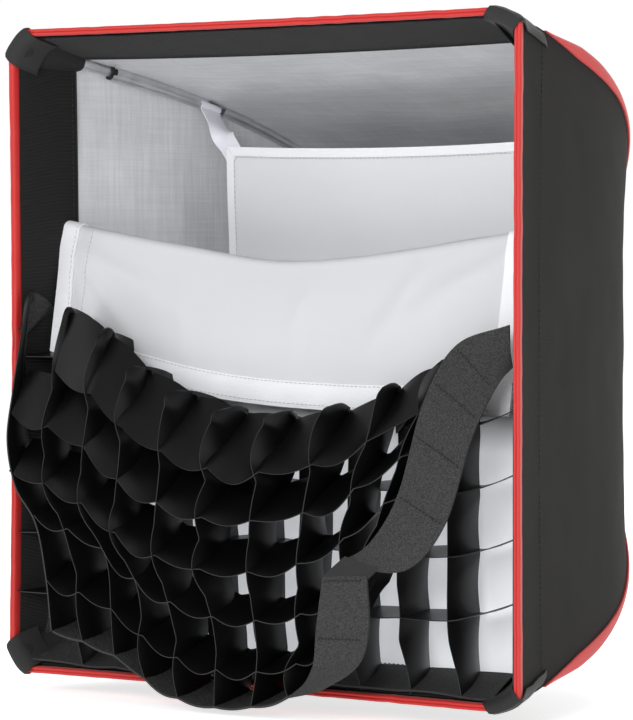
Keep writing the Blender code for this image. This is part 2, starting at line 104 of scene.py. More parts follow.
# ---- material nodes -------------------------------------------------------------
class Nodes:
    """Small helper that builds a Principled material from node expressions."""

    def __init__(self, name, colour, roughness, metallic=0.0, **sockets):
        self.mat = bpy.data.materials.new(name)
        self.mat.use_nodes = True
        self.tree = self.mat.node_tree
        self.shader = self.tree.nodes["Principled BSDF"]
        self.shader.inputs["Base Color"].default_value = (*colour, 1.0)
        self.shader.inputs["Roughness"].default_value = roughness
        self.shader.inputs["Metallic"].default_value = metallic
        for socket, value in sockets.items():
            self.shader.inputs[socket.replace("_", " ")].default_value = value

    def add(self, kind):
        return self.tree.nodes.new(kind)

    def link(self, source, target):
        self.tree.links.new(source, target)

    def coords(self, kind="Object", scale=(1, 1, 1)):
        """Texture coordinates, stretched by scale per axis."""
        source = self.add("ShaderNodeTexCoord")
        mapping = self.add("ShaderNodeMapping")
        mapping.inputs["Scale"].default_value = scale
        self.link(source.outputs[kind], mapping.inputs["Vector"])
        return mapping.outputs["Vector"]

    def noise(self, vector, scale, detail=2.0, roughness=0.5):
        node = self.add("ShaderNodeTexNoise")
        node.inputs["Scale"].default_value = scale
        node.inputs["Detail"].default_value = detail
        node.inputs["Roughness"].default_value = roughness
        self.link(vector, node.inputs["Vector"])
        return node.outputs["Fac"]

    def wave(self, vector, axis, scale, distortion=0.0):
        node = self.add("ShaderNodeTexWave")
        node.wave_type = "BANDS"
        node.bands_direction = axis
        node.inputs["Scale"].default_value = scale
        node.inputs["Distortion"].default_value = distortion
        self.link(vector, node.inputs["Vector"])
        return node.outputs["Fac"]

    def math(self, operation, a, b, clamp=False):
        node = self.add("ShaderNodeMath")
        node.operation = operation
        node.use_clamp = clamp
        for index, value in enumerate((a, b)):
            if isinstance(value, (int, float)):
                node.inputs[index].default_value = value
            else:
                self.link(value, node.inputs[index])
        return node.outputs["Value"]

    def weighed(self, *terms):
        """Sum of outputs, each times its weight."""
        total, *rest = [self.math("MULTIPLY", output, weight) for output, weight in terms]
        for term in rest:
            total = self.math("ADD", total, term)
        return total

    def ramp(self, fac, stops):
        node = self.add("ShaderNodeValToRGB")
        ramp = node.color_ramp
        while len(ramp.elements) < len(stops):
            ramp.elements.new(0.5)
        for element, (place, colour) in zip(ramp.elements, stops):
            element.position = place
            element.color = (*colour, 1.0)
        self.link(fac, node.inputs["Fac"])
        return node.outputs["Color"]

    def colour(self, output):
        self.link(output, self.shader.inputs["Base Color"])

    def rough(self, output):
        self.link(output, self.shader.inputs["Roughness"])

    def bump(self, height, strength, distance):
        node = self.add("ShaderNodeBump")
        node.inputs["Strength"].default_value = strength
        node.inputs["Distance"].default_value = distance
        self.link(height, node.inputs["Height"])
        self.link(node.outputs["Normal"], self.shader.inputs["Normal"])

    def emit(self, colour, strength=None):
        self.shader.inputs["Emission Color"].default_value = (*colour, 1.0)
        if strength is not None:
            self.shader.inputs["Emission Strength"].default_value = strength

    def painted_glow_below(self, height, run, strength):
        """Painted glow: emission below a height that stands in for light from inside the canopy coming
        through the cloth.
        """
        split = self.add("ShaderNodeSeparateXYZ")
        self.link(self.coords(), split.inputs["Vector"])
        below = self.math("SUBTRACT", height, split.outputs["Z"])
        share = self.math("DIVIDE", below, run, clamp=True)
        self.emit((0.86, 0.88, 0.92))
        self.link(self.math("MULTIPLY", share, strength), self.shader.inputs["Emission Strength"])


def shade(colour, factor):
    return tuple(c * factor for c in colour)


def cloth_material(name, colour, roughness, threads=500.0, contrast=0.25, strength=0.25,
                   blotch=0.12, sheen=0.0, ribbed=False, glow=None, **sockets):
    """Woven cloth: threads per metre over UVs in metres, with soft blotches of shade."""
    m = Nodes(name, colour, roughness, **sockets)
    if sheen:
        m.shader.inputs["Sheen Weight"].default_value = sheen
        m.shader.inputs["Sheen Roughness"].default_value = 0.4
    uv = m.coords("UV")
    wave_length = math.pi / 10    # metres in which a wave texture of scale 1 repeats
    weave = m.wave(uv, "X", threads * wave_length)
    if not ribbed:
        weave = m.weighed((weave, 0.5), (m.wave(uv, "Y", threads * wave_length), 0.5))
    place = m.coords()
    blot = m.noise(place, 9.0, 4.0, 0.6)
    grain = m.noise(place, 900.0, 2.0, 0.7)
    top = contrast + 2 * blotch
    mix = m.weighed((weave, contrast / top), (blot, blotch / top), (grain, blotch / top))
    m.colour(m.ramp(mix, [(0.0, shade(colour, 1 - 0.6 * top)), (1.0, shade(colour, 1 + 0.6 * top))]))
    m.bump(m.weighed((weave, 1.0), (grain, 0.4)), strength, 0.0006)
    if glow:
        m.painted_glow_below(*glow)
    return m.mat


def silver_material(name):
    """Metallised woven lining: bright, streaked across the weave, softly specular."""
    colour = (0.72, 0.73, 0.745)
    m = Nodes(name, colour, 0.38, 0.35)
    uv = m.coords("UV")
    streak = m.noise(m.coords("UV", (14.0, 190.0, 1.0)), 1.0, 4.0, 0.65)
    cross = m.noise(m.coords("UV", (420.0, 16.0, 1.0)), 1.0, 3.0, 0.6)
    blot = m.noise(uv, 14.0, 3.0, 0.55)
    mix = m.weighed((streak, 0.45), (cross, 0.25), (blot, 0.30))
    m.colour(m.ramp(mix, [(0.28, shade(colour, 0.82)), (0.5, colour), (0.72, (0.88, 0.89, 0.90))]))
    m.rough(m.math("ADD", m.math("MULTIPLY", streak, 0.22), 0.27))
    m.bump(m.weighed((m.wave(uv, "X", 210.0), 0.3), (m.wave(uv, "Y", 210.0), 0.3), (streak, 1.0)),
           0.20, 0.0008)
    return m.mat


def hook_material(name):
    """Hook tape: dark tape covered in a fine field of grey plastic hooks."""
    m = Nodes(name, (0.03, 0.03, 0.032), 0.70)
    uv = m.coords("UV")
    node = m.add("ShaderNodeTexVoronoi")
    node.inputs["Scale"].default_value = 820.0
    node.inputs["Randomness"].default_value = 0.75
    m.link(uv, node.inputs["Vector"])
    dots = node.outputs["Distance"]
    mix = m.weighed((dots, 0.85), (m.wave(uv, "Y", 300.0, 2.5), 0.22))
    m.colour(m.ramp(mix, [(0.10, (0.075, 0.075, 0.076)), (0.50, (0.020, 0.020, 0.0205)),
                          (0.90, (0.003, 0.003, 0.0032))]))
    m.bump(m.math("SUBTRACT", 1.0, dots), 0.8, 0.0010)
    return m.mat


def plastic_material(name, colour, roughness, grain=1400.0):
    """Moulded plastic or rubber: a fine grain, with patches worn smoother."""
    m = Nodes(name, colour, roughness)
    place = m.coords()
    speck = m.noise(place, grain, 3.0, 0.6)
    wear = m.noise(place, 35.0, 4.0, 0.6)
    m.colour(m.ramp(wear, [(0.3, shade(colour, 0.85)), (0.7, shade(colour, 1.25))]))
    m.rough(m.math("ADD", m.math("MULTIPLY", wear, 0.18), roughness - 0.09))
    m.bump(speck, 0.25, 0.0003)
    return m.mat


def metal_material(name, colour, roughness, brushed=(1, 1, 1)):
    """Bare metal whose brush marks are stretched by brushed per axis."""
    m = Nodes(name, colour, roughness, 1.0)
    lines = m.noise(m.coords(scale=brushed), 60.0, 4.0, 0.65)
    wear = m.noise(m.coords(), 45.0, 4.0, 0.6)
    m.colour(m.ramp(wear, [(0.3, shade(colour, 0.85)), (0.7, shade(colour, 1.1))]))
    m.rough(m.math("ADD", m.math("MULTIPLY", lines, 0.2), roughness - 0.1))
    m.bump(lines, 0.12, 0.0003)
    return m.mat


MATERIALS = {
    "shell": cloth_material("shell_weave", (0.0150, 0.0145, 0.0135), 0.85, 900.0, 0.35, 0.35, 0.15, 0.0,
                            Specular_IOR_Level=0.25),
    "silver": silver_material("silver_lining_weave"),
    "loop": cloth_material("loop_cloth_ribs", (0.0034, 0.0034, 0.0036), 0.95, 320.0, 0.8, 0.7, 0.10,
                           0.05, ribbed=True),
    "sleeve": metal_material("silver_sleeve_cloth", (0.74, 0.75, 0.76), 0.36, (30, 2, 30)),
    "gusset": cloth_material("gusset_weave", (0.008, 0.008, 0.0085), 0.85, 900.0, 0.25, 0.2),
    "red": cloth_material("red_welt_cloth", (0.54, 0.018, 0.014), 0.55, 1200.0, 0.12, 0.15, 0.10, 0.15),
    "pocket": cloth_material("pocket_nylon", (0.0060, 0.0062, 0.0062), 0.68, 700.0, 0.3, 0.3, 0.15, 0.1),
    # the front diffuser's lower part glows: painted light standing in for light from inside the canopy that
    # comes through the cloth
    "white": cloth_material("white_diffuser_cloth", (0.60, 0.61, 0.63), 0.62, 1100.0, 0.03, 0.10, 0.02,
                            glow=(-0.046, 0.030, 0.50)),
    # inner_white is the same cloth as white; its brighter base colour is painted light that makes up for the
    # shade deep in the canopy
    "inner_white": cloth_material("inner_diffuser_cloth", (0.72, 0.73, 0.745), 0.60, 1100.0, 0.03, 0.10,
                                  0.02),
    "binding": cloth_material("white_binding_tape", (0.86, 0.87, 0.90), 0.55, 700.0, 0.06, 0.25, 0.02),
    "ribbon": cloth_material("satin_ribbon", (0.76, 0.76, 0.82), 0.40, 1000.0, 0.05, 0.12, 0.03),
    "grid": cloth_material("grid_satin", (0.0024, 0.0024, 0.0027), 0.36, 1300.0, 0.15, 0.10, 0.10, 0.0,
                           Specular_IOR_Level=0.24),
    "grid_edge": cloth_material("grid_cut_edge", (0.020, 0.020, 0.0195), 0.75, 1300.0, 0.3, 0.2),
    "hook": hook_material("hook_tape"),
    "thread": cloth_material("stitch_thread", (0.022, 0.022, 0.023), 0.7, 2000.0, 0.3, 0.3),
    "white_thread": cloth_material("white_stitch_thread", (0.62, 0.63, 0.66), 0.6, 2000.0, 0.2, 0.3),
    "plastic": plastic_material("hub_moulded_plastic", (0.016, 0.016, 0.018), 0.48),
    "bracket": metal_material("bracket_cast_alloy", (0.30, 0.30, 0.31), 0.45),
    "ring": metal_material("ring_turned_alloy", (0.58, 0.59, 0.61), 0.30, (1, 40, 1)),
    "rod": metal_material("rod_spring_steel", (0.16, 0.16, 0.17), 0.36, (1, 30, 1)),
    "knob": plastic_material("knob_soft_rubber", (0.013, 0.013, 0.014), 0.72, 2200.0),
    "button": plastic_material("button_red_plastic", (0.52, 0.022, 0.020), 0.38),
}


# ---- the canopy's arc -----------------------------------------------------------
def arc_point(t):
    """(y, half side) of the canopy at arc parameter t: 0 at the front, 1 at the hinge."""
    weights = ((1 - t) ** 3, 3 * (1 - t) ** 2 * t, 3 * (1 - t) * t * t, t ** 3)
    back = sum(w * p[0] for w, p in zip(weights, ROD_ARC))
    side = sum(w * p[1] for w, p in zip(weights, ROD_ARC))
    return FRONT_Y + back * SIDE, side * HALF


def arc_normal(t):
    step = 1e-4
    y0, s0 = arc_point(t - step)
    y1, s1 = arc_point(t + step)
    tangent = Vector((y1 - y0, s1 - s0)).normalized()
    return Vector((-tangent.y, tangent.x))


def arc_parameter(distance):
    """Arc parameter at a distance behind the front edge, along Y."""
    low, high = 0.0, 1.0
    for _ in range(40):
        middle = (low + high) / 2
        if arc_point(middle)[0] - FRONT_Y < distance:
            low = middle
        else:
            high = middle
    return low


def arc_length_table(count=200):
    total, table = 0.0, [(0.0, 0.0)]
    last = arc_point(0.0)
    for i in range(1, count + 1):
        here = arc_point(i / count)
        total += math.hypot(here[0] - last[0], here[1] - last[1])
        table.append((i / count, total))
        last = here
    return table


ARC_LENGTHS = arc_length_table()


def arc_length(t):
    return float(np.interp(t, [a for a, _ in ARC_LENGTHS], [b for _, b in ARC_LENGTHS]))


EDGE_DRAW = 0.001              # a front edge is drawn in by this at its ends, and twice this halfway
LEFT_DRAW = 0.004              # the same for the left edge, which carries the turned-down half
EDGE_FADE = 0.060              # depth over which that fades
MIDDLE_SAG = 0.0068            # how far the middle of a panel is drawn in


def clamp(value, low=0.0, high=1.0):
    return max(low, min(high, value))


def panel_sag(share, t, side):
    """How far a panel is drawn in, at a share -1..1 across it and a place along the arc."""
    across = 1 - share * share
    base = bow = LEFT_DRAW if side == "left" else EDGE_DRAW
    depth = arc_point(t)[0] - FRONT_Y
    edge = (base + bow * across) * math.exp(-(depth / EDGE_FADE) ** 2)
    return edge + MIDDLE_SAG * across * math.sin(math.pi * min(t, 1.0)) ** 1.5


def panel_point(share, t, inward, side):
    """Point of the top panel, at a share -1..1 across it, moved inward from the arc."""
    y, half_side = arc_point(t)
    normal = arc_normal(max(t, 0.001))
    move = -(inward + panel_sag(share, t, side))
    return Vector((share * half_side, y + normal.x * move, half_side + normal.y * move))


def quarter_turn(turns):
    return Matrix.Rotation(-turns * math.pi / 2, 4, "Y")


# ---- mesh makers ----------------------------------------------------------------
def spaced(start, stop, count):
    return [start + (stop - start) * i / (count - 1) for i in range(count)]


def surface(us, vs, point_at, uv_at):
    """Rows of points and rows of UVs over a grid of places."""
    return [[point_at(u, v) for u in us] for v in vs], [[uv_at(u, v) for u in us] for v in vs]


def running_lengths(path):
    """Distance along a path at each of its points."""
    lengths = [0.0]
    for a, b in zip(path, path[1:]):
        lengths.append(lengths[-1] + (b - a).length)
    return lengths


def make_object(name, mesh, looks, slot_name):
    """Object of a mesh; looks is a material's key, or the face's and the cut edge's."""
    obj = bpy.data.objects.new(name, mesh)
    bpy.context.scene.collection.objects.link(obj)
    for look in (looks if isinstance(looks, tuple) else (looks,)):
        mesh.materials.append(MATERIALS[look])
    return obj


def new_mesh(name, verts, faces, uvs=None):
    mesh = bpy.data.meshes.new(name)
    mesh.from_pydata([tuple(v) for v in verts], [], faces)
    layer = mesh.uv_layers.new(name="UVMap")
    if uvs:
        layer.data.foreach_set("uv", [value for uv in uvs for value in uv])
    return mesh


def smooth(mesh, sharp_angle=None):
    """Smooth shading, with edges sharp from an angle in degrees."""
    mesh.polygons.foreach_set("use_smooth", [True] * len(mesh.polygons))
    if sharp_angle:
        mesh.set_sharp_from_angle(angle=math.radians(sharp_angle))


def fix_normals(mesh):
    bm = bmesh.new()
    bm.from_mesh(mesh)
    bmesh.ops.recalc_face_normals(bm, faces=bm.faces)
    bm.to_mesh(mesh)
    bm.free()


def grid_mesh(name, rows, uvs, thickness, close=False, rim_slot=0):
    """Sheet through a grid of points, given thickness both ways along its normals."""
    points = np.array([[tuple(p) for p in row] for row in rows], float)
    n, m = points.shape[:2]
    across = np.gradient(points, axis=1)
    if close:
        across = np.roll(points, -1, axis=1) - np.roll(points, 1, axis=1)
    normal = np.cross(across, np.gradient(points, axis=0))
    normal /= np.linalg.norm(normal, axis=2, keepdims=True) + 1e-12
    sides = [points + normal * thickness / 2, points - normal * thickness / 2]
    faces, face_uvs, slots = [], [], []

    def quad(places, slot=0):
        """Face through four places, each a (row, column, side)."""
        faces.append([side * n * m + i * m + j for i, j, side in places])
        face_uvs.extend(uvs[i][j] for i, j, _ in places)
        slots.append(slot)

    columns = [(j, (j + 1) % m) for j in range(m if close else m - 1)]
    for side, order in ((0, 1), (1, -1)):
        for i in range(n - 1):
            for j, k in columns:
                quad([(i, j, side), (i, k, side), (i + 1, k, side), (i + 1, j, side)][::order])
    for j, k in columns:
        for i, order in ((0, 1), (n - 1, -1)):
            quad([(i, j, 0), (i, k, 0), (i, k, 1), (i, j, 1)][::order], rim_slot)
    if not close:
        for i in range(n - 1):
            for j, order in ((0, -1), (m - 1, 1)):
                quad([(i, j, 0), (i + 1, j, 0), (i + 1, j, 1), (i, j, 1)][::order], rim_slot)
    mesh = new_mesh(name, np.concatenate([side.reshape(-1, 3) for side in sides]), faces, face_uvs)
    mesh.polygons.foreach_set("material_index", slots)
    smooth(mesh, 50)
    mesh.update()
    return mesh


def skin_mesh(name, rings, around, along, sharp_angle):
    """Closed skin over equal rings: around is the cloth per step, along its place per ring."""
    count = len(rings[0])
    faces, uvs = [], []
    for i in range(len(rings) - 1):
        for k in range(count):
            n = (k + 1) % count
            faces.append([i * count + k, i * count + n, (i + 1) * count + n, (i + 1) * count + k])
            uvs += [(k * around, along[i]), ((k + 1) * around, along[i]),
                    ((k + 1) * around, along[i + 1]), (k * around, along[i + 1])]
    last = (len(rings) - 1) * count
    faces += [list(range(count))[::-1], list(range(last, last + count))]
    uvs += [(0.0, 0.0)] * (2 * count)
    mesh = new_mesh(name, [p for ring in rings for p in ring], faces, uvs)
    fix_normals(mesh)
    smooth(mesh, sharp_angle)
    return mesh


def tube_mesh(name, path, radii, sides=12, flat=1.0):
    """Round or flattened tube along a path, closed by a flat face at each end."""
    path = [Vector(p) for p in path]
    last = len(path) - 1
    if not hasattr(radii, "__len__"):
        radii = [radii] * len(path)
    rings = []
    side = None
    for i, (point, radius) in enumerate(zip(path, radii)):
        tangent = (path[min(i + 1, last)] - path[max(i - 1, 0)]).normalized()
        if side is None:
            guess = Vector((0, 1, 0)) if abs(tangent.y) < 0.9 else Vector((1, 0, 0))
            side = tangent.cross(guess).normalized()
        else:
            side = (side - tangent * side.dot(tangent)).normalized()
        other = side.cross(tangent)
        turns = [2 * math.pi * k / sides for k in range(sides)]
        rings.append([point + side * math.cos(a) * radius + other * math.sin(a) * radius * flat
                      for a in turns])
    return skin_mesh(name, rings, 2 * math.pi * max(radii) / sides, running_lengths(path), 50)


def swept_mesh(name, sections):
    """Closed skin over equal cross-sections, with its ends drawn together."""
    rings = [[Vector(p) for p in section] for section in sections]
    near, far = [[(sum(ring, Vector()) / len(ring)).lerp(p, 0.6) for p in ring]
                 for ring in (rings[0], rings[-1])]
    rings = [near] + rings + [far]
    return skin_mesh(name, rings, 0.0016, running_lengths([ring[0] for ring in rings]), 60)


def make_stitches(name, path, normal, look, slot_name, length=0.0032, pitch=0.0045, radius=0.00035):
    """A run of short thread stitches along a path, raised along a normal."""
    lengths = running_lengths(path)
    xyz = np.array([tuple(p) for p in path])
    normal = Vector(normal).normalized()

    def at(distance):
        return Vector([float(np.interp(distance, lengths, xyz[:, k])) for k in range(3)])

    verts, faces = [], []
    place = pitch / 2
    while place + length < lengths[-1]:
        a, b = at(place), at(place + length)
        side = (b - a).normalized().cross(normal).normalized()
        base = len(verts)
        for share, size in ((0.0, 0.35), (0.25, 1.0), (0.75, 1.0), (1.0, 0.35)):
            centre = a + (b - a) * share + normal * radius * (size - 0.3)
            for c, s in ((-1, 0), (0, 1), (1, 0), (0, -1)):
                verts.append(centre + (side * c + normal * s) * radius * size)
        for ring in (base, base + 4, base + 8):
            for k in range(4):
                n = (k + 1) % 4
                faces.append([ring + k, ring + n, ring + 4 + n, ring + 4 + k])
        faces += [[base + k for k in (3, 2, 1, 0)], [base + 12 + k for k in range(4)]]
        place += pitch
    mesh = new_mesh("run", verts, faces)
    fix_normals(mesh)
    smooth(mesh)
    return make_object(name, mesh, look, slot_name)


# ---- cloth baked in place; a side's halves --------------------------------------
def follow_rods(obj, corner, side=None):
    """Bakes the cloth's transform into its mesh; nothing makes it follow the rods."""
    if side in ("top", "bottom"):
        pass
    elif side in ("left", "right"):
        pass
    else:
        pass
    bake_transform(obj)


def half_ranges(side):
    """The two halves of a side as (corner, shares across), split at its middle."""
    left, right = SIDE_CORNERS[side]
    return ((left, (-1.0, 0.0)), (right, (0.0, 1.0)))


# ---- canopy ---------------------------------------------------------------------
def wrinkle(point, scale, size):
    return noise(Vector(point) * scale) * size


def corner_cut(depth):
    """How much of each panel's end is cut away under the corner pocket."""
    return 0.0160 * max(0.0, 1 - depth / 0.045) ** 1.2


def panel_half(name, side, corner, shares, start, stop, steps, inward, thickness, look, slot_name,
               margin, ripple):
    """Half a side's panel between two places on the arc, split at the side's middle."""
    turn = quarter_turn(SIDES[side])
    seed = 10.0 * SIDES[side]

    def point_at(share, t):
        y, half_side = arc_point(t)
        kept = share * (1 - (margin + corner_cut(y - FRONT_Y)) / half_side)
        point = panel_point(kept, t, inward, side)
        edge = min(1.0, (1 - abs(share)) * 5)
        point.z += wrinkle((point.x + seed, point.y * 1.4, seed), 11.0, ripple * 2.2) * edge
        point.z += wrinkle((point.x * 3 + seed, point.y * 3, seed), 12.0, ripple) * edge
        return turn @ point

    rows, uvs = surface(spaced(*shares, 25), spaced(start, stop, steps), point_at,
                        lambda share, t: (share * arc_point(t)[1], arc_length(t)))
    mesh = grid_mesh(name, rows, uvs, thickness)
    mesh["cut_width"] = max(arc_point(start)[1], arc_point(stop)[1])
    mesh["cut_length"] = arc_length(stop) - arc_length(start)
    obj = make_object(name, mesh, look, slot_name)
    follow_rods(obj, corner, side)
    return obj


SHELL_INWARD = 0.0018         # shell inside the CAD arc
HEM_LAP = 0.004               # the band's hem laps the lining by this


def make_canopy():
    """Shell, loop band and lining, in two halves a side."""
    rim = arc_parameter(0.0028)
    band = arc_parameter(0.0085), arc_parameter(BAND_DEPTH)
    lining_start = arc_parameter(BAND_DEPTH - HEM_LAP)
    # (kind, CAD node, start, stop, steps, inward, thickness, look, slot, margin, ripple)
    layers = (("shell", "shell_panel", rim, SHELL_END, 44, SHELL_INWARD, 0.0009, "shell",
               "shell_cloth", SHELL_INWARD + 0.0002, 0.0008),
              ("band", "loop_band", *band, 12, 0.0046, 0.0012, "loop", "loop_cloth", 0.0050, 0.0004),
              ("lining", "lining_panel", lining_start, SHELL_END - 0.012, 44, 0.0036, 0.0006, "silver",
               "silver_lining", 0.0038, 0.0008))
    for side in SIDES:
        for corner, shares in half_ranges(side):
            for kind, node, *build in layers:
                piece = panel_half(f"{kind}_{side}_by_{corner}", side, corner, shares, *build)
                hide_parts(f"{node}_{side}")


def make_band_hem():
    """Folded hem along the loop band's back edge, with the band's and the shell's stitches."""
    t = arc_parameter(BAND_DEPTH)
    # (kind, place along the arc, inward, which way it is raised, slot)
    runs = (("band_stitch", arc_parameter(BAND_DEPTH - HEM_LAP), 0.0056, -1, "loop_cloth"),
            ("shell_stitch", arc_parameter(STITCH_DEPTH), SHELL_INWARD - 0.0009, 1, "shell_cloth"))
    for side in SIDES:
        turn = quarter_turn(SIDES[side])
        normal = turn @ Vector((0, arc_normal(t).x, arc_normal(t).y))
        for corner, shares in half_ranges(side):
            reach = spaced(shares[0] * 0.978, shares[1] * 0.978, 30)
            path = [turn @ panel_point(s, t, 0.0050, side) for s in reach]
            hem = make_object(f"band_hem_{side}_by_{corner}", tube_mesh("hem", path, 0.0012, 8, 0.7),
                              "gusset", "loop_cloth")
            follow_rods(hem, corner, side)
            for kind, place, inward, raised, slot_name in runs:
                path = [turn @ panel_point(s, place, inward, side) for s in reach]
                run = make_stitches(f"{kind}_{side}_by_{corner}", path, normal * raised, "thread",
                                    slot_name)
                follow_rods(run, corner, side)


# how far a corner pocket reaches along its (top or bottom edge, side edge)
POCKET_REACH = {"top_left": (0.021, 0.021), "bottom_left": (0.021, 0.021),
                "top_right": (0.026, 0.011), "bottom_right": (0.026, 0.011)}
# cross-section of the front binding: (out from the edge, behind the front plane)
BINDING = ((-0.0022, 0.0034), (-0.0002, 0.0012), (-0.0004, -0.0006), (-0.0014, -0.0014),
           (-0.0026, -0.0012), (-0.0031, -0.0002), (-0.0036, -0.0012), (-0.0048, -0.0014), (-0.0057, -0.0006),
           (-0.0061, 0.0012), (-0.0062, 0.0050), (-0.0060, 0.0084), (-0.0052, 0.0092), (-0.0036, 0.0080))
# cross-section of the corner welt: (across, up from the seam)
WELT = ((-0.0013, -0.0010), (-0.0015, 0.0022), (-0.0014, 0.0050), (-0.0008, 0.0062), (0.0002, 0.0066),
        (0.0012, 0.0061), (0.0018, 0.0050), (0.0021, 0.0022), (0.0025, -0.0006), (0.0024, -0.0042),
        (0.0010, -0.0046))


def make_front_piping():
    for side in SIDES:
        turn = quarter_turn(SIDES[side])
        for corner, shares in half_ranges(side):
            reach = POCKET_REACH[corner][0 if side in ("top", "bottom") else 1]
            limit = 1 - (reach + 0.0006) / HALF
            sections = []
            for s in spaced(*(clamp(share, -limit, limit) for share in shares), 46):
                drift = wrinkle((s * 5, SIDES[side], 7), 4.0, 0.0004) - panel_sag(s, 0.0, side)
                push = wrinkle((s * 3, SIDES[side], 1), 4.0, 0.0006)
                sections.append([turn @ Vector((s * HALF, FRONT_Y + back + push, HALF + out + drift))
                                 for out, back in BINDING])
            obj = make_object(f"front_piping_{side}_by_{corner}", swept_mesh("piping", sections), "red",
                              "red_piping")
            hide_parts(f"front_piping_{side}")
            follow_rods(obj, corner, side)


def welt_rise(t):
    """How far the corner welt stands up: it grows behind the band and sinks again to the rear."""
    depth = arc_point(t)[0] - FRONT_Y
    rise = min(1.0, (depth - 0.050) / 0.070) - 0.55 * clamp((depth - 0.160) / 0.080)
    return rise * min(1.0, (SHELL_END + 0.03 - t) / 0.05)


def make_seam_welts():
    for corner, (sx, sz) in CORNERS.items():
        sections = []
        for t in spaced(arc_parameter(0.053), SHELL_END + 0.01, 48):
            y, half_side = arc_point(t)
            normal = arc_normal(t) * welt_rise(t)
            seam = half_side - SHELL_INWARD
            sections.append([(sx * (seam + across), y + normal.x * up, sz * (seam + normal.y * up))
                             for across, up in WELT])
        obj = make_object(f"seam_welt_{corner}", swept_mesh("seam", sections), "red", "red_piping")
        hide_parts(f"seam_piping_{corner}")
        follow_rods(obj, corner)


# ---- small curve tools ----------------------------------------------------------
def with_ends(points):
    """The points, with one more at each end so that a curve can pass through all of them."""
    pts = [Vector(p) for p in points]
    return [pts[0] * 2 - pts[1]] + pts + [pts[-1] * 2 - pts[-2]]


def catmull_rom(pts, k, f):
    """Point at share f between the curve's points k and k + 1."""
    p0, p1, p2, p3 = pts[k:k + 4]
    return 0.5 * (2 * p1 + (p2 - p0) * f + (2 * p0 - 5 * p1 + 4 * p2 - p3) * f * f
                  + (3 * p1 - p0 - 3 * p2 + p3) * f * f * f)


def smooth_path(points):
    """Curve through points, as a function of the share 0..1 of its length."""
    pts = with_ends(points)
    knots = running_lengths(pts[1:-1])

    def at(share):
        distance = clamp(share) * knots[-1]
        k = int(clamp(np.searchsorted(knots, distance, "right") - 1, 0, len(knots) - 2))
        return catmull_rom(pts, k, (distance - knots[k]) / (knots[k + 1] - knots[k]))
    return at


def knots_path(points):
    """Curve that gives each of its points the same share of its run."""
    pts = with_ends(points)
    last = len(points) - 1

    def at(share):
        place = clamp(share) * last
        k = min(last - 1, int(place))
        return catmull_rom(pts, k, place - k)
    return at


def drape(across, ahead, up):
    """Drape point: shares of the frame's half-size, and metres ahead of its front."""
    return Vector((across * HALF, FRONT_Y - ahead, up * HALF))


def ride_inside(obj, body):
    """Loose cloth is parented to its body's empty and given a mesh of its own."""
    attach(obj, body)
    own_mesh(obj)


def ribbon_between(name, first, second, steps, thickness, look, slot_name, across=6, bow=0.0,
                   edge_look=None):
    """Strip of cloth ruled between two curves (functions of 0..1), bowed by a share."""
    rows, uvs, widths = [], [], []
    travelled = 0.0
    last = None
    for s in spaced(0.0, 1.0, steps):
        a, b = first(s), second(s)
        middle = (a + b) / 2
        if last is not None:
            travelled += (middle - last).length
        last = middle
        row, uv_row = [], []
        width = (b - a).length
        widths.append(width)
        ahead = first(min(1.0, s + 0.01)) - first(max(0.0, s - 0.01))
        normal = ahead.cross(b - a).normalized()
        for c in spaced(0.0, 1.0, across):
            row.append(a.lerp(b, c) + normal * bow * math.sin(math.pi * c))
            uv_row.append((c * width, travelled))
        rows.append(row)
        uvs.append(uv_row)
    looks = (look, edge_look) if edge_look else look
    mesh = grid_mesh(name, rows, uvs, thickness, rim_slot=1 if edge_look else 0)
    mesh["cut_width"] = sum(widths) / len(widths)
    mesh["cut_length"] = travelled
    return make_object(name, mesh, looks, slot_name)


# ---- corner pockets, gussets, rod sleeves ---------------------------------------
GUSSET_FLAT = (0.034, 0.062)


def corner_matrix(sx, sz):
    return Matrix(((sx, 0, 0), (0, 1, 0), (0, 0, sz)))


# a pocket from its front lip round to its tail on the seam:
# (depth, share of the reach along the sides, offset outward, how sharp the chamfer's corner is)
POCKET_STATIONS = (
    (0.020, 1.0, -0.0078, 0.35), (0.003, 1.0, -0.0082, 0.35), (-0.0020, 1.0, -0.0060, 0.35),
    (-0.0034, 1.0, -0.0024, 0.35), (-0.0026, 1.0, 0.0004, 0.35), (0.0010, 1.0, 0.0012, 0.38),
    (0.006, 0.88, 0.0012, 0.45), (0.014, 0.68, 0.0010, 0.60), (0.026, 0.54, 0.0010, 0.75),
    (0.040, 0.48, 0.0010, 0.80), (0.052, 0.46, 0.0008, 0.80), (0.057, 0.44, -0.0004, 0.80))
POCKET_TAIL = 0.0105           # least reach of the even-sided part behind the front edge
POCKET_TURN = 0.0025           # straight stretch at each end of the outline


def pocket_outline(corner, depth, share, offset, sharp):
    """Outline (x, z) of a pocket at one depth: a curve that cuts off the frame's corner."""
    level, upright = corner.split("_")
    t = arc_parameter(max(depth, 0.0))
    side = arc_point(t)[1] + offset
    edge = Vector((side - panel_sag(0.93, t, upright), side - panel_sag(0.93, t, level)))
    reach_x, reach_z = (r * share for r in POCKET_REACH[corner])
    if depth > 0.010:
        reach_x = reach_z = max(POCKET_TAIL, (reach_x + reach_z) / 2)
    start, stop = edge - Vector((reach_x, 0)), edge - Vector((0, reach_z))
    pull = ((start + stop) / 2).lerp(edge, sharp)
    curve = [start * (1 - k) ** 2 + pull * 2 * k * (1 - k) + stop * k * k for k in spaced(0.0, 1.0, 19)]
    return [start - Vector((POCKET_TURN, 0))] + curve + [stop - Vector((0, POCKET_TURN))]


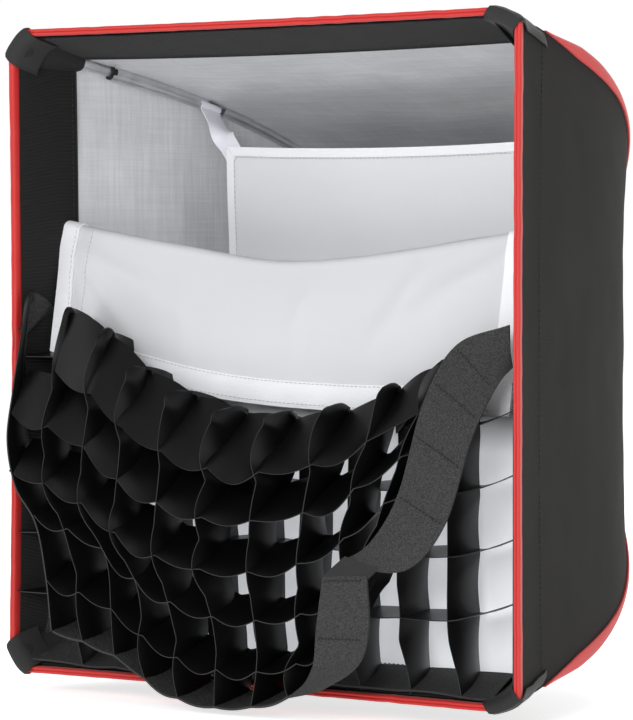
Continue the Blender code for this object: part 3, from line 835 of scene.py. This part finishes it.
def make_corner_pockets():
    """Black cloth pocket folded over each front corner and back along the seam."""
    along = running_lengths([Vector((depth, offset)) for depth, _, offset, _ in POCKET_STATIONS])
    for corner, (sx, sz) in CORNERS.items():
        flip = corner_matrix(sx, sz)
        rows, uvs = [], []
        for station, travelled in zip(POCKET_STATIONS, along):
            depth = station[0]
            row = []
            for x, z in pocket_outline(corner, *station):
                lift = wrinkle((x * sx + 3, depth * 3, z * sz), 70.0, 0.0005)
                row.append(flip @ Vector((x + lift, FRONT_Y + depth, z + lift)))
            rows.append(row)
            uvs.append([(k * 0.0015, travelled) for k in range(len(row))])
        mesh = grid_mesh("pocket", rows, uvs, 0.0010)
        fix_normals(mesh)
        obj = make_object(f"corner_pocket_{corner}_cloth", mesh, "pocket", "pocket_cloth")
        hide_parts(f"corner_pocket_{corner}")
        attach(obj, f"rod_arm_{corner}")


def make_gussets():
    """Smooth black cloth over the rod inside the loop band, corner by corner."""
    first, last = arc_parameter(0.004), arc_parameter(BAND_DEPTH + 0.001)
    inset, front_reach, taper = 0.0056, 0.0270, 0.0165

    def point_at(s, t):
        y, side = arc_point(t)
        share = (t - first) / (last - first)
        reach = front_reach - taper * share
        inner = side - inset - (0.0010 + 0.0014 * share) * math.sin(math.pi * s)
        return Vector((inner - reach * (1 - s), y, inner - reach * s))

    rows, uvs = surface(spaced(0.0, 1.0, 9), spaced(first, last, 14), point_at,
                        lambda s, t: (s * GUSSET_FLAT[0], arc_length(t)))
    for corner, (sx, sz) in CORNERS.items():
        flip = corner_matrix(sx, sz)
        mesh = grid_mesh("gusset", [[flip @ p for p in row] for row in rows], uvs, 0.0008)
        fix_normals(mesh)
        obj = make_object(f"rod_gusset_{corner}", mesh, "gusset", "loop_cloth")
        follow_rods(obj, corner)


def rod_centre(t, sx, sz):
    y, side = arc_point(t)
    return Vector((sx * (side - ROD_INSET), y, sz * (side - ROD_INSET)))


def rod_path(start, stop, count, sx, sz):
    """The rod's centre line between two depths behind the front."""
    return [rod_centre(t, sx, sz) for t in spaced(arc_parameter(start), arc_parameter(stop), count)]


def make_rod_sleeves():
    """Silver cloth tubes on the rods in three runs, with a dark ring where the second begins: a painted
    shadow for the shade inside that sleeve's mouth.
    """
    # (run, start and stop behind the front, radius at its mouth and at its tail)
    runs = (("front", BAND_DEPTH - HEM_LAP, 0.0980, 0.0042, 0.0042),
            ("middle", 0.0960, 0.192, 0.0074, 0.0052), ("rear", 0.208, 0.315, 0.0046, 0.0044))
    for corner, (sx, sz) in CORNERS.items():
        for run, start, stop, mouth, tail in runs:
            radii = [(mouth + (tail - mouth) * s) * (1 + 0.03 * math.sin(7 * s) + 0.02 * math.sin(17 * s))
                     for s in spaced(0.0, 1.0, 26)]
            mesh = tube_mesh("sleeve", rod_path(start, stop, 26, sx, sz), radii, 16, 0.86)
            obj = make_object(f"rod_sleeve_{run}_{corner}", mesh, "sleeve", "silver_lining")
            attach(obj, f"rod_arm_{corner}")
        # dark ring in the second sleeve's mouth: painted shadow for the shade inside it
        mesh = tube_mesh("mouth_shadow", rod_path(0.0945, 0.0990, 6, sx, sz), 0.0066, 16)
        mouth_shadow = make_object(f"rod_cuff_{corner}", mesh, "gusset", "hub_plastic")
        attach(mouth_shadow, f"rod_arm_{corner}")


# ---- rear skirt -----------------------------------------------------------------
RIM_RADIUS = 0.0985
RIM_Y = HINGE_Y + 0.0195
SQUARENESS = 10.0              # power of the superellipse at the skirt's outer edge


def skirt_point(angle, share):
    """Point of the skirt, from the canopy's square rear edge (0) to the hub's round rim (1)."""
    y_front, side = arc_point(SHELL_END)
    c, s = math.cos(angle), math.sin(angle)
    corner = (abs(c) ** SQUARENESS + abs(s) ** SQUARENESS) ** (1 / SQUARENESS)
    square = (side - SHELL_INWARD - 0.0005) / corner
    middle = math.sin(share * math.pi)
    pleat = middle * 0.0011 * math.sin(angle * 28 + 2 * math.sin(angle * 5))
    radius = square + (RIM_RADIUS - square) * share + pleat
    return Vector((radius * c, y_front + (RIM_Y - y_front) * share + 0.004 * middle + pleat, radius * s))


def make_rear_skirt():
    """Pleated skirt that turns the canopy's square rear edge into the hub's round rim."""
    angles = [2 * math.pi * k / 160 for k in range(160)]
    rows, uvs = surface(angles, spaced(0.0, 1.0, 16), skirt_point,
                        lambda angle, share: (angle * RIM_RADIUS, share * 0.06))
    mesh = grid_mesh("skirt", rows, uvs, 0.0012, close=True)
    fix_normals(mesh)
    obj = make_object("rear_skirt_cloth", mesh, "shell", "shell_cloth")
    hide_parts("rear_skirt")
    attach(obj, "canopy")
    path = [(RIM_RADIUS * math.cos(a), RIM_Y, RIM_RADIUS * math.sin(a))
            for a in spaced(0.0, 2 * math.pi, 97)]
    hem = make_object("rear_skirt_hem", tube_mesh("hem", path, 0.0022, 10), "pocket", "shell_cloth")
    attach(hem, "canopy")


# ---- inner diffuser -------------------------------------------------------------
INNER_BINDING = 0.0072


def inner_edge(share):
    """Distance of the inner diffuser's edge from its centre, drawn in between corners."""
    return INNER_HALF - 0.004 * (1 - share * share)


def inner_point(u, v, ahead=0.0):
    """Point of the inner diffuser, u and v from -1 to 1."""
    x, z = u * inner_edge(v), v * inner_edge(u)
    bulge = 0.0030 * math.cos(u * math.pi / 2) * math.cos(v * math.pi / 2)
    return Vector((x, INNER_Y + 0.001 - ahead + bulge + wrinkle((x, 3, z), 16.0, 0.0014), z))


def make_inner_diffuser():
    steps = spaced(-1.0, 1.0, 65)
    rows, uvs = surface(steps, steps, inner_point, lambda u, v: (u * INNER_HALF, v * INNER_HALF))
    panel = make_object("inner_diffuser_panel", grid_mesh("panel", rows, uvs, 0.0008), "inner_white",
                        "white_diffuser")
    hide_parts("inner_diffuser")
    ride_inside(panel, "inner_baffle")
    inner = 1 - INNER_BINDING / INNER_HALF
    for side, turns in SIDES.items():
        turn = quarter_turn(turns)

        def outer_at(s, turn=turn):
            return turn @ (inner_point(2 * s - 1, 1.0, 0.0005) + Vector((0, 0, 0.0006)))

        def inner_at(s, turn=turn):
            return turn @ inner_point((2 * s - 1) * inner, inner, 0.0005)

        tape = ribbon_between(f"inner_diffuser_binding_{side}", outer_at, inner_at, 60, 0.0022,
                              "binding", "white_diffuser", 4)
        path = [turn @ inner_point(u * inner, inner * 0.994, 0.0018) for u in spaced(-1, 1, 40)]
        run = make_stitches(f"inner_diffuser_stitch_{side}", path, FORWARD, "white_thread",
                            "white_diffuser")
        for piece in (tape, run):
            ride_inside(piece, "inner_baffle")


RIBBON_WIDTH = 0.020
RIBBON_LAP = 0.010             # how far a ribbon laps the diffuser's corner


def ribbon_path(centre, inward, across, target):
    """From the rod's inner side, round the rod, to the diffuser's corner."""
    start = centre + inward * 0.0088
    return smooth_path([centre + inward * 0.0024 + across * 0.0034,
                        centre + inward * 0.0046 + across * 0.0036,
                        centre + inward * 0.0068 + across * 0.0024, start,
                        start.lerp(target, 0.35) + inward * 0.002,
                        start.lerp(target, 0.7), target]), target - start


def make_ribbons():
    """Ribbons that come off the rods and hold the inner diffuser's corners."""
    depth = arc_parameter(INNER_Y - FRONT_Y + 0.018)
    reach = INNER_HALF - RIBBON_LAP
    for corner, (sx, sz) in CORNERS.items():
        tangent = (rod_centre(depth + 0.01, sx, sz) - rod_centre(depth - 0.01, sx, sz)).normalized()
        inward = Vector((-sx, 0, -sz)).normalized()
        inward = (inward - tangent * inward.dot(tangent)).normalized()
        across = tangent.cross(inward).normalized()
        if across.z * sz < 0:
            across = -across
        path, run = ribbon_path(rod_centre(depth, sx, sz), inward, across,
                                Vector((sx * reach, INNER_Y + 0.0006, sz * reach)))
        lateral = run.cross(Vector((0, 1, 0))).normalized()
        if lateral.dot(tangent) < 0:
            lateral = -lateral

        def edge(sign, path=path, tangent=tangent, lateral=lateral):
            def at(s):
                turn = clamp((s - 0.35) / 0.40)
                turn = turn * turn * (3 - 2 * turn)
                return path(s) + tangent.lerp(lateral, turn).normalized() * RIBBON_WIDTH / 2 * sign
            return at

        ribbon = ribbon_between(f"ribbon_{corner}", edge(-1), edge(1), 40, 0.0010, "ribbon",
                                "ribbon_cloth", 6, 0.0006)
        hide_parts(f"diffuser_ribbon_{corner}")
        ride_inside(ribbon, "inner_baffle")


# ---- front diffuser -------------------------------------------------------------
SCREEN_HALF = 0.2510
SCREEN_WIDTH = 0.4970
SCREEN_FOLD = smooth_path([drape(-0.92, 0, 0.40), drape(-0.45, 0, 0.33), drape(0.05, 0, 0.28),
                           drape(0.92, 0, 0.37)])
SCREEN_HEM = smooth_path([drape(-0.92, 0, 0.0), drape(-0.30, 0, -0.12), drape(0.30, 0, -0.16),
                          drape(0.92, 0, -0.16)])
SCREEN_LEAN = 0.034            # how far the hem hangs forward of the cloth behind it
SCREEN_HEM_WIDTH = 0.0215
SCREEN_SIDE_HEM = 0.0190
# where a ridge starts (x, z), its direction in degrees, height and width
CREASES = ((-0.252, 0.100, -24, 0.0042, 0.010), (-0.252, 0.100, -42, 0.0036, 0.009),
           (-0.252, 0.100, -60, 0.0030, 0.010), (-0.120, 0.085, -72, 0.0016, 0.012),
           (0.030, 0.075, -100, 0.0020, 0.014), (0.150, 0.090, -118, 0.0024, 0.012),
           (0.250, 0.098, -150, 0.0034, 0.011))


def crease(x, z):
    """Soft ridges that run down from where the diffuser's corners are caught."""
    lift = 0.0
    for cx, cz, angle, height, width in CREASES:
        dx, dz = x - cx, z - cz
        c, s = math.cos(math.radians(angle)), math.sin(math.radians(angle))
        along, off = dx * c + dz * s, -dx * s + dz * c
        if along < 0:
            continue
        spread = width * (0.5 + along * 5.0)
        lift += height * math.exp(-(off / spread) ** 2) * math.exp(-along / 0.17) * min(1, along * 30)
    return lift


def screen_length(u):
    """Length of cloth from the bottom edge to the turned-down hem, at a share across."""
    return SCREEN_FOLD(u).z * 2 + SCREEN_HALF - SCREEN_HEM(u).z + 0.006


def screen_point(u, v):
    """Point of the front diffuser: u 0..1 across, v 0..1 from its bottom edge to its hem."""
    fold = SCREEN_FOLD(u)
    bottom = -SCREEN_HALF
    rise = fold.z - bottom
    roll = 0.0050
    back = SCREEN_Y + 0.001 - FRONT_Y
    x = -SCREEN_HALF + SCREEN_WIDTH * u
    v = v * screen_length(u)
    side_pull = 1 - (2 * u - 1) ** 2
    straight = rise - roll
    if v <= straight:
        z = bottom + v
        bulge = 0.004 * math.sin(math.pi * v / straight) * side_pull
        return Vector((x, FRONT_Y + back + bulge + wrinkle((x, 1, z), 14.0, 0.0012), z))
    arc = math.pi * roll
    if v <= straight + arc:
        angle = (v - straight) / roll
        return Vector((x, FRONT_Y + back - roll * (1 - math.cos(angle)),
                       fold.z - roll + roll * math.sin(angle)))
    down = v - straight - arc
    length = screen_length(u) - straight - arc
    share = down / length
    z = fold.z - roll - down
    forward = 2 * roll + (SCREEN_LEAN - 2 * roll) * share + 0.008 * math.sin(math.pi * share) * side_pull
    y = FRONT_Y + back - forward - crease(x, z) * min(1.0, down * 40)
    y -= wrinkle((x, 5, z), 9.0, 0.0030) * min(1.0, down * 20)
    return Vector((x + 0.008 * share * (1 - u) ** 3, y, z))


def above_screen(u, v, amount):
    """Point lifted off the turned-down cloth, toward the camera's side."""
    step = 0.004
    across = screen_point(min(1, u + step), v) - screen_point(max(0, u - step), v)
    down = screen_point(u, min(1, v + step)) - screen_point(u, v - step)
    return screen_point(u, v) - across.cross(down).normalized() * amount


def make_front_diffuser():
    rows, uvs = surface(spaced(0.0, 1.0, 120), spaced(0.0, 1.0, 140), screen_point,
                        lambda u, v: (u * SCREEN_WIDTH, v * screen_length(u)))
    cloth = make_object("front_diffuser_cloth", grid_mesh("screen", rows, uvs, 0.0007), "white",
                        "white_diffuser")
    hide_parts("front_diffuser_screen", "front_diffuser_flap")
    ride_inside(cloth, "front_baffle")
    extras = make_screen_hems() + make_screen_stitches()
    for piece in extras:
        ride_inside(piece, "front_baffle")
    screen_length(0.0)


SCREEN_LOW = 0.70              # the side hems are drawn from this share of the length on
HEM_SHARE = SCREEN_HEM_WIDTH / screen_length(0.5)
SIDE_HEM_SHARE = SCREEN_SIDE_HEM / SCREEN_WIDTH


def make_screen_hems():
    """Folded tapes along the turned-down cloth's free edge and its two sides."""
    def along_side(u):
        return lambda s: above_screen(u, SCREEN_LOW + (1 - SCREEN_LOW) * s, 0.0014)

    tapes = (("hem", lambda s: above_screen(s, 1.0, 0.0008),
              lambda s: above_screen(s, 1.0 - HEM_SHARE, 0.0008), 100),
             ("left_hem", along_side(0.0), along_side(SIDE_HEM_SHARE), 70),
             ("right_hem", along_side(1.0), along_side(1 - SIDE_HEM_SHARE), 70))
    return [ribbon_between(f"front_diffuser_{name}", outer, inner, steps, 0.0016, "binding",
                           "white_diffuser", 5) for name, outer, inner, steps in tapes]


def make_screen_stitches():
    across, down = spaced(0.0, 1.0, 90), spaced(SCREEN_LOW, 1.0, 60)
    lines = (("hem_top", [(s, 1.0 - HEM_SHARE * 0.94) for s in across], 0.0018),
             ("hem_low", [(s, 1.0 - HEM_SHARE * 0.16) for s in across], 0.0018),
             ("left", [(SIDE_HEM_SHARE * 0.90, v) for v in down], 0.0024),
             ("left_inner", [(SIDE_HEM_SHARE * 1.75, v) for v in down], 0.0006))
    return [make_stitches(f"front_diffuser_stitch_{name}",
                          [above_screen(u, v, height) for u, v in places], FORWARD, "white_thread",
                          "white_diffuser") for name, places, height in lines]


# ---- grid -----------------------------------------------------------------------
GRID_HALF = 0.2515
GRID_CELLS = 10                # the CAD grid has 11; ten match the photo's spacing better
PITCH = 2 * GRID_HALF / GRID_CELLS
GRID_DEPTH = 0.042
THIN_END = 0.006               # depth left where a strip comes close to the front plane
WALL_LEAN = 0.0145             # how far a border strip leans out at its front edge
GRID_BACK = 0.044             # attached strips' rear edge, behind the front plane
STRIP = 0.0008                 # thickness of grid cloth
TAPE = 0.0018                  # thickness of hook tape
# The turned-down half hangs from its two top corners: its fold sags between them, and its
# sides and free edge are drawn together below.
FLAP_TOP = smooth_path([drape(-0.91, 0.00, 0.17), drape(-0.60, 0.016, 0.08), drape(-0.33, 0.033, -0.08),
                        drape(0.05, 0.043, -0.18), drape(0.42, 0.037, -0.15), drape(0.68, 0.018, -0.04),
                        drape(0.91, -0.004, 0.04)])
FLAP_FREE = smooth_path([drape(-0.65, 0.046, -0.84), drape(-0.40, 0.050, -0.89), drape(-0.15, 0.052, -1.00),
                         drape(0.12, 0.051, -1.02), drape(0.36, 0.050, -0.93), drape(0.50, 0.055, -0.62)])
FLAP_LEFT = smooth_path([drape(-0.91, 0.00, 0.17), drape(-0.87, 0.036, -0.32), drape(-0.74, 0.046, -0.46),
                         drape(-0.68, 0.047, -0.62), drape(-0.65, 0.046, -0.84)])
FLAP_RIGHT = smooth_path([drape(0.91, -0.004, 0.04), drape(0.76, 0.034, -0.30), drape(0.65, 0.047, -0.50),
                          drape(0.50, 0.055, -0.62)])


def flap_surface(u, v):
    """Front edges of the turned-down half: u across, v from the fold to the free edge."""
    top, bottom, left, right = FLAP_TOP(u), FLAP_FREE(u), FLAP_LEFT(v), FLAP_RIGHT(v)
    corners = (FLAP_TOP(0.0), FLAP_TOP(1.0), FLAP_FREE(0.0), FLAP_FREE(1.0))
    blend_uv = (corners[0] * (1 - u) * (1 - v) + corners[1] * u * (1 - v)
                + corners[2] * (1 - u) * v + corners[3] * u * v)
    return top * (1 - v) + bottom * v + left * (1 - u) + right * u - blend_uv


def cell_wave(place, seed, lean=0.0):
    """Slack bow of a strip between its crossings, different in every cell."""
    cell = math.floor(place)
    f = place - cell
    size = noise(Vector((cell * 3.7 + seed * 1.9, seed * 0.7, 0.3))) * 1.6 + lean
    return math.sin(math.pi * f) * clamp(size, -1.2, 1.2)


def attached_top(u):
    """Height at which the attached strips start to turn over."""
    return FLAP_TOP(u).z - 0.030


def foot_kick(z):
    """Sideways kick of the attached uprights where the bottom border folds forward."""
    share = clamp((-0.200 - z) / 0.046)
    return 0.014 * share * share


def wall_lean(place):
    """How far a border strip's front edge leans out to lie on the loop band."""
    return WALL_LEAN * max(0.0, abs(place) / PITCH - (GRID_CELLS / 2 - 1)) * (1 if place > 0 else -1)


def strip_edges(u, seed):
    """(rear path, front path) of one upright strip: up the attached half and down the flap."""
    x = -GRID_HALF + 2 * GRID_HALF * u
    top, bottom = attached_top(u), -GRID_HALF + 0.004
    crest = FLAP_TOP(u)
    rear, near = [], []
    for s in spaced(0.0, 1.0, 8):
        z = bottom + (top - bottom) * s
        kick = foot_kick(z) if 0 < u < 1 else 0.0
        rear.append(Vector((x, FRONT_Y + GRID_BACK, z)))
        near.append(Vector((x + kick + wall_lean(x), FRONT_Y + GRID_BACK - GRID_DEPTH,
                            z - kick * 0.4 - 0.0120 * (1 - s) ** 4)))
    lift = 0.012 + 0.006 * noise(Vector((seed * 1.3, 0.2, 0.9)))
    middle_y = (FRONT_Y + GRID_BACK * 0.4 + crest.y) / 2
    rear.append(Vector((x * 0.75 + crest.x * 0.25, FRONT_Y + GRID_BACK * 0.75, crest.z - 0.008)))
    rear.append(Vector(((x + crest.x) / 2, middle_y, crest.z + lift * 0.35)))
    near.append(Vector((x * 0.75 + crest.x * 0.25, FRONT_Y + 0.001, crest.z - 0.032)))
    near.append(Vector(((x + crest.x) / 2, FRONT_Y - 0.003, crest.z - 0.030)))
    for v in (0.0, 0.12, 0.25, 0.4, 0.55, 0.7, 0.85, 1.0):
        here = flap_surface(u, v)
        depth = min(GRID_DEPTH, FRONT_Y - here.y - 0.002)
        side = -0.006 * math.sin(math.pi * v)
        rear.append(here)
        near.append(here + Vector((side, max(THIN_END, depth), 0.004)))
    return rear, near


def make_grid_strip(name, first, second, steps, is_tape, across, bow=0.0, edge_look="grid_edge"):
    """One strip of the egg-crate: hook tape on the border, thin cloth elsewhere."""
    strip = ribbon_between(name, first, second, steps, TAPE if is_tape else STRIP,
                           "hook" if is_tape else "grid", "grid_cloth", across, bow, edge_look)
    declare_strip(strip)
    return strip


def declare_strip(strip):
    ride_inside(strip, "egg_crate")


def part_of(path, start, stop):
    """The stretch of a path between two shares of its run."""
    return lambda s: path(start + s * (stop - start))


def make_upright_strips():
    """Strips that run up the attached half, turn over at the fold and hang down in front."""
    fold, strap_start = 0.50, 0.47

    def waved(path, seed, lean, amount):
        def at(s):
            slack = clamp((s - 0.42) * 6, 0.25, 1.0)
            return path(s) + Vector((cell_wave(s * 11, seed, lean) * amount * slack, 0, 0))
        return at

    for i in range(GRID_CELLS + 1):
        rear, near = strip_edges(i / GRID_CELLS, i)
        amount = {0: 0.0, 1: 0.005, GRID_CELLS: 0.0}.get(i, 0.0085)
        outer = waved(smooth_path(rear), i, -0.70, amount)
        inner = waved(smooth_path(near), i + 40, 0.25, amount)
        if i == 0:
            make_grid_strip("grid_strip_left_border", part_of(outer, 0, fold), part_of(inner, 0, fold),
                            80, True, 8, edge_look=None)
            hanging = ribbon_between("grid_strip_left_hanging", part_of(outer, fold, 1),
                                     part_of(inner, fold, 1), 80, TAPE, "grid", "grid_cloth", 8, 0.003,
                                     "grid_edge")
            declare_strip(hanging)
        elif i == GRID_CELLS:     # past here the right border is the loose diagonal strap
            make_grid_strip("grid_strip_right_border", part_of(outer, 0, strap_start),
                            part_of(inner, 0, strap_start), 60, True, 6, edge_look=None)
        else:
            make_grid_strip(f"grid_strip_upright_{i:02d}", outer, inner, 160, False, 8, 0.003)


def attached_runs(z):
    """Stretches across, as (start, stop), where the attached half is still up at a height."""
    runs, current = [], []
    for x in spaced(-GRID_HALF, GRID_HALF, 60):
        if z > attached_top((x + GRID_HALF) / (2 * GRID_HALF)) + 0.006:
            continue
        if current and x - current[-1] > 0.02:
            runs.append(current)
            current = []
        current.append(x)
    runs.append(current)
    return [(run[0], run[-1]) for run in runs if len(run) > 3]


def make_attached_levels():
    """Level strips of the attached half; the lowest is the border in the loop band."""
    for j in range(6):
        z = -GRID_HALF + j * PITCH
        border = j == 0
        for k, (start, stop) in enumerate(attached_runs(z)):
            def edge(depth, start=start, stop=stop, z=z, j=j, border=border):
                tilt = (GRID_BACK - depth) / GRID_DEPTH

                def at(s):
                    x = start + (stop - start) * s
                    sag = cell_wave((x + GRID_HALF) / PITCH, j * 5 + depth * 100) * 0.0026
                    if border:
                        lift = 0.0030 - WALL_LEAN * tilt
                    else:
                        lift = 0.016 * max(0.0, (x - 0.205) / 0.046) ** 1.5 - 0.004 * tilt
                    return Vector((x + wall_lean(x) * tilt, FRONT_Y + depth, z + lift + sag))
                return at
            make_grid_strip(f"grid_strip_level_{j}_{k}", edge(GRID_BACK), edge(GRID_BACK - GRID_DEPTH),
                            120, border, 7)


def make_flap_levels():
    """Level strips of the turned-down half; the last is the free edge's border."""
    # (share down the flap of the strip's rear edge, of its front edge)
    levels = ((0.0, 0.16), (0.20, 0.31), (0.40, 0.49), (0.60, 0.67), (0.80, 0.86), (1.0, 1.0))
    replaced = {0: "grid_lower", len(levels) - 1: "grid_flap"}
    for j, (top, v) in enumerate(levels):
        last = j == len(levels) - 1
        begin, stop = 0.10 if j == 0 else 0.004, 0.90 if last else 1.0

        def edge(back, v=v, top=top, j=j, begin=begin, stop=stop, last=last):
            def at(s):
                s = begin + (stop - begin) * s
                here = flap_surface(s, v + (top - v) * back)
                depth = max(THIN_END, min(GRID_DEPTH, FRONT_Y - here.y - 0.002))
                place = s * GRID_CELLS
                bow = math.sin(math.pi * (place - math.floor(place)))
                size = 1 + 1.1 * noise(Vector((math.floor(place) * 2.3, j * 1.7, 0.4)))
                drop = -0.006 * bow * size * (1 - back) + 0.004 * bow * back
                if last:
                    drop = drop * 0.25 + 0.010 * back
                return here + Vector((0, depth * back, drop))
            return at

        strip = make_grid_strip(f"grid_flap_level_{j}", edge(0.0), edge(1.0), 170, last, 7)
        if j in replaced:
            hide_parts(replaced[j])


# The loose strap runs down and inward in one curve, turns at its corner plate and hangs.
STRAP_LEFT = [drape(0.93, -0.010, 0.10), drape(0.78, 0.004, 0.04), drape(0.72, 0.024, -0.12),
              drape(0.68, 0.042, -0.38), drape(0.60, 0.050, -0.52), drape(0.50, 0.054, -0.58)]
STRAP_RIGHT = [drape(0.94, -0.010, -0.02), drape(0.92, 0.005, -0.08), drape(0.89, 0.024, -0.22),
               drape(0.84, 0.040, -0.46), drape(0.73, 0.050, -0.59), drape(0.55, 0.054, -0.59)]
PLATE_LEFT = [drape(0.52, 0.053, -0.56), drape(0.45, 0.057, -0.62)]
PLATE_RIGHT = [drape(0.64, 0.053, -0.59), drape(0.61, 0.057, -0.62)]
HANG_LEFT = [drape(0.45, 0.057, -0.62), drape(0.43, 0.058, -0.76), drape(0.40, 0.055, -0.90),
             drape(0.30, 0.051, -0.98)]
HANG_RIGHT = [drape(0.61, 0.057, -0.61), drape(0.62, 0.058, -0.76), drape(0.57, 0.055, -0.87),
              drape(0.42, 0.050, -0.95)]
STRAP_THICK = 0.0020


def make_loose_straps():
    """The flap's right border: a hook-tape strap that crosses to its hanging corner."""
    crossing = knots_path(STRAP_LEFT), knots_path(STRAP_RIGHT)
    plate = knots_path(PLATE_LEFT), knots_path(PLATE_RIGHT)
    hanging = knots_path(HANG_LEFT), knots_path(HANG_RIGHT)
    declare_strip(ribbon_between("grid_strap_diagonal", *crossing, 110, STRAP_THICK, "hook",
                                 "grid_cloth", 9, 0.0015, "grid_edge"))
    ride_inside(ribbon_between("grid_strap_corner", *plate, 12, 0.0022, "pocket", "grid_cloth", 7,
                               0.0012), "egg_crate")
    declare_strip(ribbon_between("grid_strap_hanging", *hanging, 60, STRAP_THICK, "hook",
                                 "grid_cloth", 9, 0.0012, "grid_edge"))
    marks = [(*crossing, place) for place in (0.20, 0.335, 0.47, 0.60)]
    marks += [(*hanging, place) for place in (0.03, 0.42)]
    for i, (left, right, place) in enumerate(marks):
        path = [left(place).lerp(right(place), c) + Vector(FORWARD) * 0.0026
                for c in spaced(0.04, 0.96, 14)]
        run = make_stitches(f"grid_strap_stitch_{i}", path, FORWARD, "gusset", "grid_cloth",
                            0.0024, 0.0034, 0.0005)
        ride_inside(run, "egg_crate")


# ---- stage, lights and camera -----------------------------------------------------
def make_floor():
    """Pale floor; its glow keeps it near white under soft shadows."""
    bpy.ops.mesh.primitive_plane_add(size=24, location=(0, 0, cad_box[0].z - 0.010))
    floor = bpy.context.object
    floor.name = "floor"
    m = Nodes("pale_floor", (0.86, 0.86, 0.86), 0.85)
    grain = m.noise(m.coords(), 3.0, 2.0)
    m.colour(m.ramp(grain, [(0.3, (0.85, 0.85, 0.85)), (0.7, (0.88, 0.88, 0.88))]))
    m.emit(WHITE, 0.66)
    floor.data.materials.append(m.mat)


def make_cove():
    """White backdrop that only the camera sees, so it lights nothing."""
    bpy.ops.mesh.primitive_uv_sphere_add(radius=11.5, segments=48, ring_count=24)
    cove = bpy.context.object
    cove.name = "white_cove"
    m = Nodes("white_cove", (0.0, 0.0, 0.0), 1.0)
    m.emit(WHITE, 1.0)
    cove.data.materials.append(m.mat)
    for ray in ("diffuse", "glossy", "transmission", "volume_scatter", "shadow"):
        setattr(cove, f"visible_{ray}", False)


def make_world():
    world = bpy.data.worlds.new("studio")
    bpy.context.scene.world = world
    world.use_nodes = True
    background = world.node_tree.nodes["Background"]
    background.inputs["Color"].default_value = (*WHITE, 1.0)
    background.inputs["Strength"].default_value = 0.42
    bpy.context.scene.view_settings.view_transform = "Standard"


def aim_along(obj, direction):
    obj.rotation_mode = "QUATERNION"
    obj.rotation_quaternion = direction.to_track_quat("-Z", "Y")


def make_lights():
    """Softbox lights, each aimed at the canopy's middle."""
    # name: (place, size, watts)
    lights = {"key_light": ((1.1, -3.2, 0.9), (1.3, 1.3), 46),
              "left_light": ((-2.2, -2.4, 1.2), (1.2, 1.6), 12),
              "side_light": ((2.9, -0.8, 0.8), (1.4, 2.0), 13),
              "top_light": ((0.2, 0.2, 2.8), (2.4, 2.4), 22),
              "back_light": ((-0.6, 3.0, 1.4), (1.8, 1.8), 22)}
    for name, (place, size, watts) in lights.items():
        light = bpy.data.lights.new(name, "AREA")
        light.shape = "RECTANGLE"
        light.size, light.size_y = size
        light.energy = watts
        obj = bpy.data.objects.new(name, light)
        bpy.context.scene.collection.objects.link(obj)
        obj.location = place
        aim_along(obj, Vector((0, FRONT_Y / 2, 0)) - Vector(place))


def make_camera():
    """Camera turned toward +X and slightly above the canopy's middle."""
    turn = math.radians(39.5)
    tilt = math.radians(1.3812)
    right = Vector((math.cos(turn), math.sin(turn), 0))
    ahead = Vector((-math.sin(turn), math.cos(turn), 0))
    data = bpy.data.cameras.new("camera")
    camera = bpy.data.objects.new("camera", data)
    bpy.context.scene.collection.objects.link(camera)
    camera.location = (Vector((0, FRONT_Y, 0.143 * SIDE)) + right * 0.098 * SIDE
                       - ahead * 6.19 * SIDE)
    data.lens = 209.45
    data.sensor_width = 36.0
    aim_along(camera, ahead * math.cos(tilt) - Vector((0, 0, 1)) * math.sin(tilt))
    data.clip_end = 50
    bpy.context.scene.camera = camera


# ---- carried-over CAD nodes: first matching start of the name wins -----------------
CAD_LOOKS = {
    "hub_plate": "plastic", "lock_block": "plastic", "rod_socket": "plastic",
    "rod_bracket": "bracket", "hinge_pin": "bracket", "bayonet_ring": "ring",
    "retaining_ring": "ring", "lock_knob": "knob", "release_button": "button",
    "rod_": "rod",
}


def dress_cad_nodes():
    for name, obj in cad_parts.items():
        look = next((v for k, v in CAD_LOOKS.items() if name.startswith(k)), None)
        if look:
            obj.data.materials.clear()
            obj.data.materials.append(MATERIALS[look])


make_camera()
make_floor()
make_cove()
make_world()
make_lights()
make_canopy()
make_band_hem()
make_front_piping()
make_seam_welts()
make_corner_pockets()
make_gussets()
make_rod_sleeves()
make_rear_skirt()
make_inner_diffuser()
make_ribbons()
make_front_diffuser()
make_upright_strips()
make_attached_levels()
make_flap_levels()
make_loose_straps()
dress_cad_nodes()
